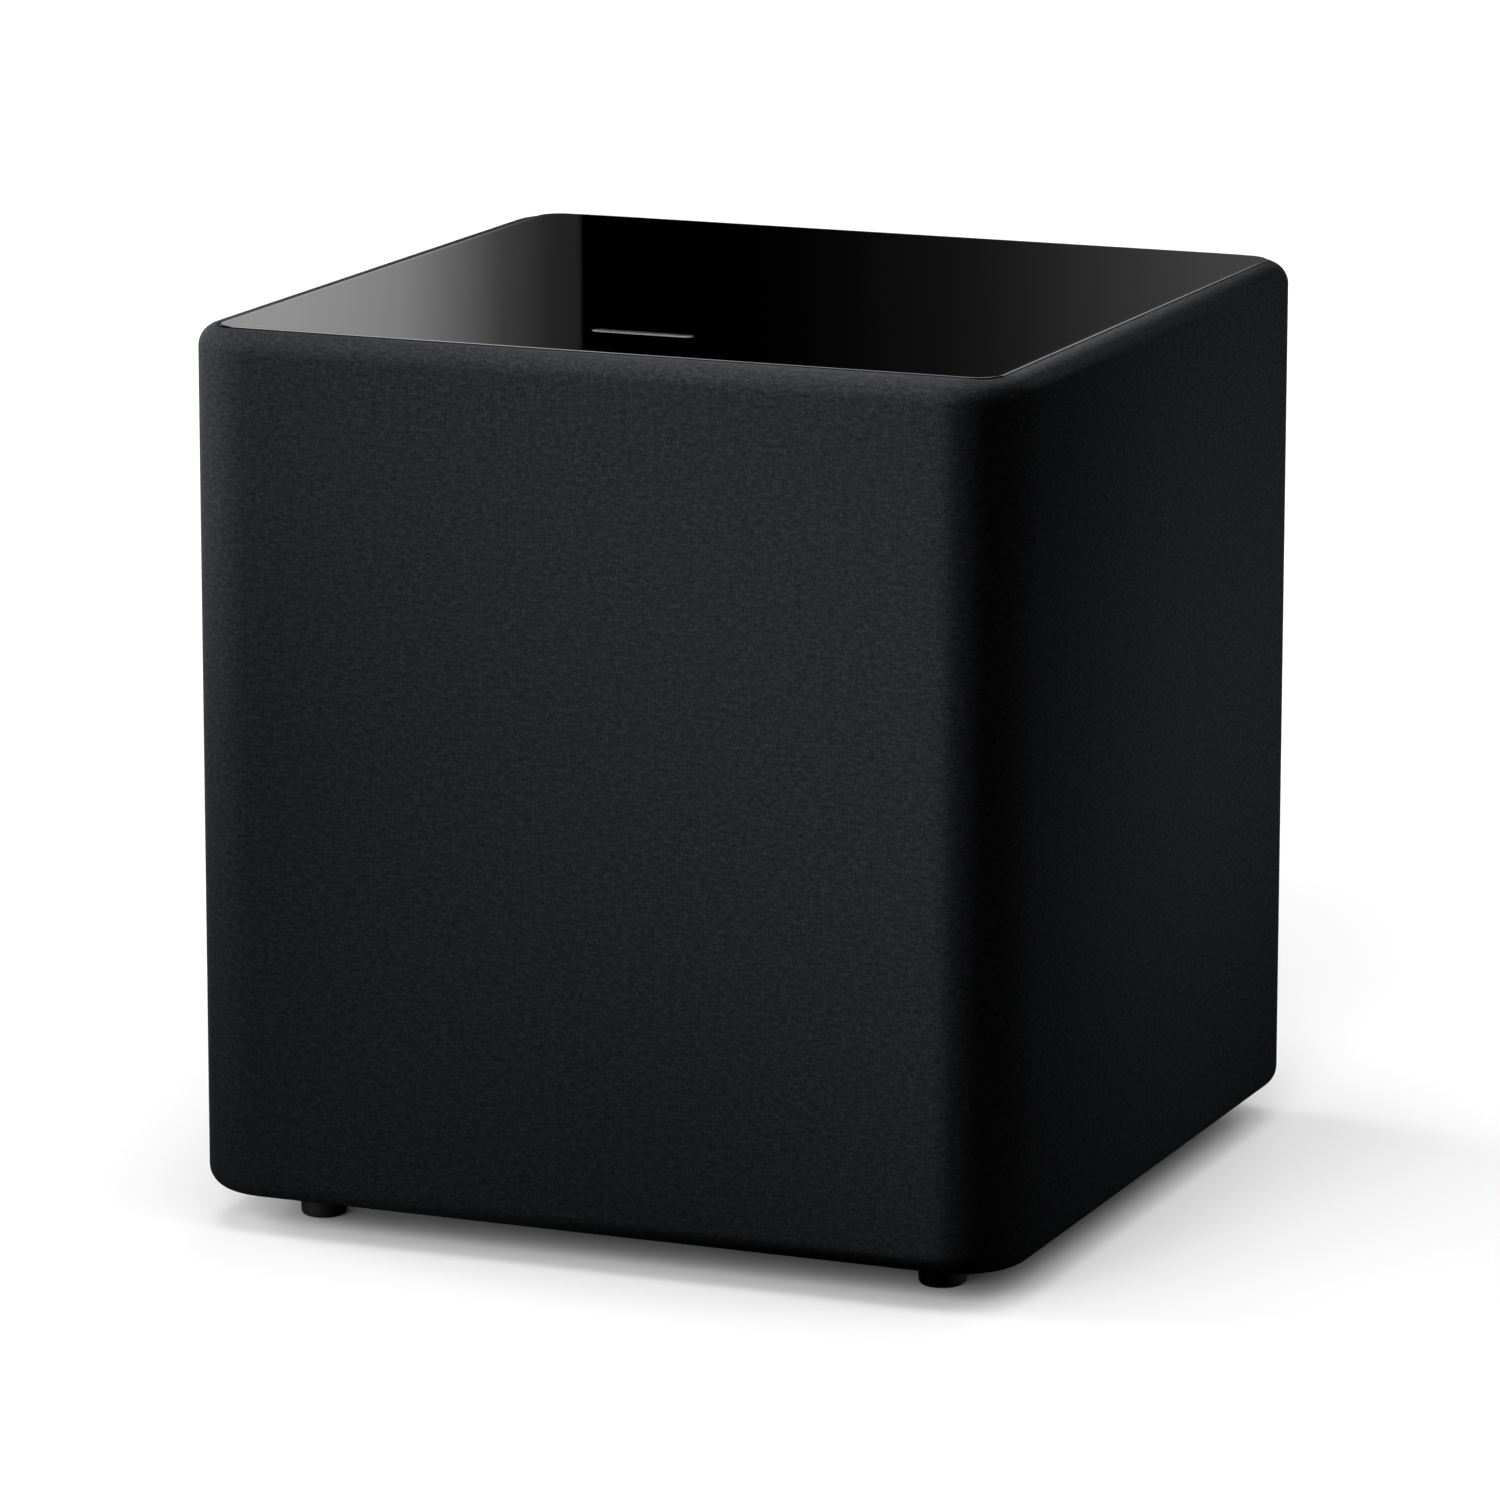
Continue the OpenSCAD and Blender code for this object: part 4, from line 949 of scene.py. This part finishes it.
TARGET = Vector((0.0, CY, CZ))
OBJECT_PIECES = bpy.data.collections.new("object_pieces")
FLOOR_ONLY = bpy.data.collections.new("floor_only")
for o in bpy.context.scene.objects:
    if o.type == "MESH" and not o.name.startswith("stage_"):
        OBJECT_PIECES.objects.link(o)
FLOOR_ONLY.objects.link(bpy.data.objects["stage_floor"])
REAR_PIECES = bpy.data.collections.new("rear_pieces")
MATT_PIECES = bpy.data.collections.new("matt_pieces")
for o in OBJECT_PIECES.objects:
    if o.name not in ("gloss_panel", "panel_inlay_bar"):
        MATT_PIECES.objects.link(o)
        if o.name not in ("cloth_sleeve", "rubber_feet"):
            REAR_PIECES.objects.link(o)


def toward(az, el):
    a, e = math.radians(az), math.radians(el)
    return Vector((math.sin(a) * math.cos(e), -math.cos(a) * math.cos(e), math.sin(e)))


def area_light(name, az, el, dist, w, h, watts, aim=None, spread=120.0, color=(1, 1, 1), only=None):
    data = bpy.data.lights.new(name, "AREA")
    data.shape = "RECTANGLE"
    data.size, data.size_y = w, h
    data.energy = watts
    data.spread = math.radians(spread)
    data.color = color
    obj = bpy.data.objects.new(name, data)
    bpy.context.scene.collection.objects.link(obj)
    obj.location = TARGET + toward(az, el) * dist
    obj.rotation_mode = "QUATERNION"
    obj.rotation_quaternion = ((Vector(aim) if aim else TARGET) - obj.location).to_track_quat("-Z", "Y")
    obj.light_linking.receiver_collection = only or OBJECT_PIECES
    return obj


def floor_sun(name, az, el, angle, strength):
    """A soft sun that only the floor receives: white where nothing shades it."""
    data = bpy.data.lights.new(name, "SUN")
    data.angle = math.radians(angle)
    data.energy = strength * math.pi / math.sin(math.radians(el)) / 0.87
    obj = bpy.data.objects.new(name, data)
    bpy.context.scene.collection.objects.link(obj)
    obj.rotation_mode = "QUATERNION"
    obj.rotation_quaternion = (-toward(az, el)).to_track_quat("-Z", "Y")
    obj.light_linking.receiver_collection = FLOOR_ONLY
    return obj


def ramp_card(name, width, height, place, stops, strength, receivers, soft=0.0):
    """A softbox panel seen only in reflections: its glow varies along its width."""
    card = add_mesh(name, [(-width / 2, 0, -height / 2), (width / 2, 0, -height / 2), (width / 2, 0, height / 2), (-width / 2, 0, height / 2)], [(0, 1, 2, 3)], None, False)
    card.matrix_world = place
    mat = bpy.data.materials.new(name)
    mat.use_nodes = True
    nt = mat.node_tree
    nt.nodes.clear()
    out = nt.nodes.new("ShaderNodeOutputMaterial")
    glow = nt.nodes.new("ShaderNodeEmission")
    tex = nt.nodes.new("ShaderNodeTexCoord")
    sep = nt.nodes.new("ShaderNodeSeparateXYZ")
    span = nt.nodes.new("ShaderNodeMapRange")
    ramp = nt.nodes.new("ShaderNodeValToRGB")
    span.inputs["From Min"].default_value = -width / 2
    span.inputs["From Max"].default_value = width / 2
    nt.links.new(tex.outputs["Object"], sep.inputs[0])
    nt.links.new(sep.outputs["X"], span.inputs["Value"])
    nt.links.new(span.outputs["Result"], ramp.inputs[0])
    nt.links.new(ramp.outputs[0], glow.inputs[0])
    nt.links.new(glow.outputs[0], out.inputs[0])
    glow.inputs[1].default_value = strength
    if soft:
        fades = []
        for axis, size in (("X", width), ("Z", height)):
            off = nt.nodes.new("ShaderNodeMath"); off.operation = "ABSOLUTE"
            nt.links.new(sep.outputs[axis], off.inputs[0])
            fade = nt.nodes.new("ShaderNodeMapRange"); fade.interpolation_type = "SMOOTHSTEP"
            nt.links.new(off.outputs[0], fade.inputs["Value"])
            fade.inputs["From Min"].default_value = size / 2 - soft
            fade.inputs["From Max"].default_value = size / 2
            fade.inputs["To Min"].default_value = strength
            fade.inputs["To Max"].default_value = 0.0
            fades.append(fade)
        both = nt.nodes.new("ShaderNodeMath"); both.operation = "MULTIPLY"
        nt.links.new(fades[0].outputs[0], both.inputs[0])
        nt.links.new(fades[1].outputs[0], both.inputs[1])
        nt.links.new(both.outputs[0], glow.inputs[1])
    el = ramp.color_ramp.elements
    while len(el) > 1:
        el.remove(el[-1])
    el[0].position = stops[0][0] / width + 0.5
    el[0].color = (*[stops[0][1]] * 3, 1)
    for x, v in stops[1:]:
        e = el.new(x / width + 0.5)
        e.color = (v, v, v, 1)
    card.data.materials.append(mat)
    card.visible_camera = False
    card.visible_diffuse = False
    card.visible_shadow = False
    card.visible_transmission = False
    card.light_linking.receiver_collection = receivers
    return card


GLOSS_PIECES = bpy.data.collections.new("gloss_pieces")
GLOSS_PIECES.objects.link(bpy.data.objects["gloss_panel"])
GLOSS_PIECES.objects.link(bpy.data.objects["panel_inlay_bar"])

# softbox wall far behind the cabinet, mirrored in the gloss top
REACH = 6.5
VIEW = Vector((-math.sin(0.38898), math.cos(0.38898), 0.0))
SIDE = Vector((VIEW.y, -VIEW.x, 0.0))


def wall_x(px):
    return REACH * (px - 750) / 8028 / 0.989


def linear(v):
    v /= 255.0
    return v / 12.92 if v <= 0.04045 else ((v + 0.055) / 1.055) ** 2.4


wall_stops = [(wall_x(px), linear(v) / 0.42) for px, v in ((262, 146), (300, 143), (350, 135), (400, 124), (450, 96), (500, 60), (550, 36), (579, 31), (582, 0), (700, 0), (750, 1), (800, 3), (850, 7), (900, 13), (950, 17), (1000, 24), (1050, 33), (1100, 43), (1150, 51), (1200, 59), (1280, 68))]
cam_xy = Vector((camera.location.x, camera.location.y, 0.0))
wall_at = cam_xy + VIEW * REACH
place = Matrix.Translation((wall_at.x, wall_at.y, 0.95)) @ Matrix(((SIDE.x, VIEW.x, 0, 0), (SIDE.y, VIEW.y, 0, 0), (0, 0, 1, 0), (0, 0, 0, 1)))
ramp_card("stage_wall_softbox", 1.0, 0.9, place, wall_stops, 1.0, GLOSS_PIECES)

def aimed(az, el, dist):
    """Placement of a card at a direction from the panel, facing it."""
    top = Vector((0.0, CY, Z1))
    at = top + toward(az, el) * dist
    back = (at - top).normalized()
    side = Vector((0, 0, 1)).cross(back).normalized()
    up = back.cross(side)
    m = Matrix((side, -back, up)).transposed().to_4x4()
    m.translation = at
    return m


# softboxes that light the panel's polished edges
ramp_card("stage_edge_top", 1.6, 1.2, aimed(300, 66, 2.2), [(-0.8, 1.5), (0.8, 1.5)], 1.0, GLOSS_PIECES)
ramp_card("stage_edge_front", 2.0, 1.7, aimed(202, 52, 2.6), [(-1.0, 2.4), (0.45, 3.2), (0.60, 6.0), (0.75, 13.0), (1.0, 16.0)], 1.0, GLOSS_PIECES, 0.25)
ramp_card("stage_edge_right", 1.1, 0.55, aimed(176, 25, 2.6), [(-0.55, 1.15), (0.55, 1.6)], 1.0, GLOSS_PIECES)

def stage_ring(radius, top, az0, az1, strength):
    """A dim cyclorama round the set, seen only in the gloss panel; open where the wall softbox stands."""
    steps, rows = 96, 6
    verts = []
    for j in range(rows + 1):
        for i in range(steps + 1):
            a = math.radians(az0 + (az1 - az0) * i / steps)
            verts.append((radius * math.sin(a), -radius * math.cos(a), top * j / rows))
    n = steps + 1
    faces = [(j * n + i, j * n + i + 1, (j + 1) * n + i + 1, (j + 1) * n + i) for j in range(rows) for i in range(steps)]
    ring = add_mesh("stage_ring", verts, faces, None, False)
    mat = bpy.data.materials.new("stage_ring")
    mat.use_nodes = True
    nt = mat.node_tree
    nt.nodes.clear()
    out = nt.nodes.new("ShaderNodeOutputMaterial")
    glow = nt.nodes.new("ShaderNodeEmission")
    tex = nt.nodes.new("ShaderNodeTexCoord")
    sep = nt.nodes.new("ShaderNodeSeparateXYZ")
    around = nt.nodes.new("ShaderNodeMath"); around.operation = "ARCTAN2"
    wave = nt.nodes.new("ShaderNodeMath"); wave.operation = "SINE"
    twice = nt.nodes.new("ShaderNodeMath"); twice.operation = "MULTIPLY_ADD"
    fit = nt.nodes.new("ShaderNodeMapRange")
    up = nt.nodes.new("ShaderNodeMapRange"); up.interpolation_type = "SMOOTHSTEP"
    both = nt.nodes.new("ShaderNodeMath"); both.operation = "MULTIPLY"
    nt.links.new(tex.outputs["Object"], sep.inputs[0])
    nt.links.new(sep.outputs["X"], around.inputs[0])
    nt.links.new(sep.outputs["Y"], around.inputs[1])
    nt.links.new(around.outputs[0], twice.inputs[0])
    twice.inputs[1].default_value = 6.0
    twice.inputs[2].default_value = 0.9
    nt.links.new(twice.outputs[0], wave.inputs[0])
    nt.links.new(wave.outputs[0], fit.inputs["Value"])
    fit.inputs["From Min"].default_value = -1.0
    fit.inputs["From Max"].default_value = 1.0
    fit.inputs["To Min"].default_value = 0.02 * strength
    fit.inputs["To Max"].default_value = strength
    nt.links.new(sep.outputs["Z"], up.inputs["Value"])
    up.inputs["From Min"].default_value = top * 0.55
    up.inputs["From Max"].default_value = top
    up.inputs["To Min"].default_value = 1.0
    up.inputs["To Max"].default_value = 0.0
    nt.links.new(fit.outputs[0], both.inputs[0])
    nt.links.new(up.outputs[0], both.inputs[1])
    nt.links.new(both.outputs[0], glow.inputs[1])
    nt.links.new(glow.outputs[0], out.inputs[0])
    ring.data.materials.append(mat)
    ring.visible_camera = False
    ring.visible_diffuse = False
    ring.visible_shadow = False
    ring.visible_transmission = False
    ring.light_linking.receiver_collection = GLOSS_PIECES
    return ring


stage_ring(7.0, 6.0, 216, 188 + 360, 0.42)
ramp_card("stage_overhead", 3.4, 2.6, aimed(120, 80, 3.0), [(-1.7, 0.05), (-0.4, 0.35), (0.9, 1.3), (1.7, 1.5)], 1.0, GLOSS_PIECES, 0.8)

# azimuth 0 is in front (-Y), 90 is to the right (+X), 180 behind
LIGHTS = [
    ("front_key", -50, 35, 2, 0.5, 0.5, 0.951, (0.13, -0.205, 0.36), 22),
    ("front_graze", -70, 35, 2, 0.5, 0.5, 2.004, (0.13, -0.205, 0.36), 14),
    ("front_low_left", -34, 2, 2, 0.3, 0.3, 0.096, (-0.19, -0.2, 0.035), 9),
    ("front_fill", -34, 20, 2, 0.5, 0.5, 0.111, (0.13, -0.205, 0.36), 22),
    ("side_mid", 112, 8, 2, 0.5, 0.5, 0.149, (0.1965, 0.05, 0.22), 22),
    ("side_low", 112, 8, 2, 0.4, 0.4, 0.038, (0.1965, 0.12, 0.1), 12),
    ("side_rear", 126, 8, 2, 0.4, 0.4, 0.214, (0.1965, 0.15, 0.3), 12),
    ("corner_glint", 200, 55, 2, 0.3, 0.3, 0.250, (0.165, -0.19, 0.409), 10),
    ("corner_top", -30, 70, 2, 0.4, 0.4, 0.156, (0.165, -0.19, 0.409), 12),
]
FLOOR_SUNS = [
    ("floor_overhead", 0, 88, 40, 0.2398),
    ("floor_front", 0, 25, 40, 0.2290),
    ("floor_left", -90, 25, 40, 0.2281),
    ("floor_right", 90, 50, 40, 0.1588),
    ("floor_back", -180, 25, 40, 0.1164),
    ("floor_front_left", -30, 25, 40, 0.0809),
    ("floor_front_right", 30, 25, 40, 0.0684),
    ("floor_right_high", 30, 50, 40, 0.0482),
    ("floor_back_right", 150, 50, 40, 0.0411),
    ("floor_left_high", -45, 50, 20, 0.0128),
]
for row in LIGHTS:
    area_light(*row, only=MATT_PIECES)
# softboxes behind the cabinet, for the cloth of the back and far side
area_light("back_cloth", 194, 7, 2.6, 0.9, 0.9, 15.0, (0.0, 0.205, 0.2), 120, only=MATT_PIECES)
area_light("far_side_cloth", 226, 6, 2.6, 0.7, 0.9, 19.0, (-0.1, 0.1, 0.2), 120, only=MATT_PIECES)
# and for the amplifier plate, which alone receives them
area_light("plate_key", 158, 38, 2.2, 0.7, 0.7, 15.0, (0.0, 0.21, 0.2), 120, only=REAR_PIECES)
area_light("plate_side", 222, 14, 2.2, 0.5, 1.0, 9.0, (0.0, 0.21, 0.2), 120, only=REAR_PIECES)
area_light("plate_wash", 182, 60, 2.0, 1.4, 0.3, 6.0, (0.0, 0.21, 0.2), 120, only=REAR_PIECES)
for row in FLOOR_SUNS:
    floor_sun(*row)

sc = bpy.context.scene
sc.view_settings.view_transform = "Standard"
sc.view_settings.look = "None"
sc.view_settings.exposure = 0.0
sc.view_settings.gamma = 1.0
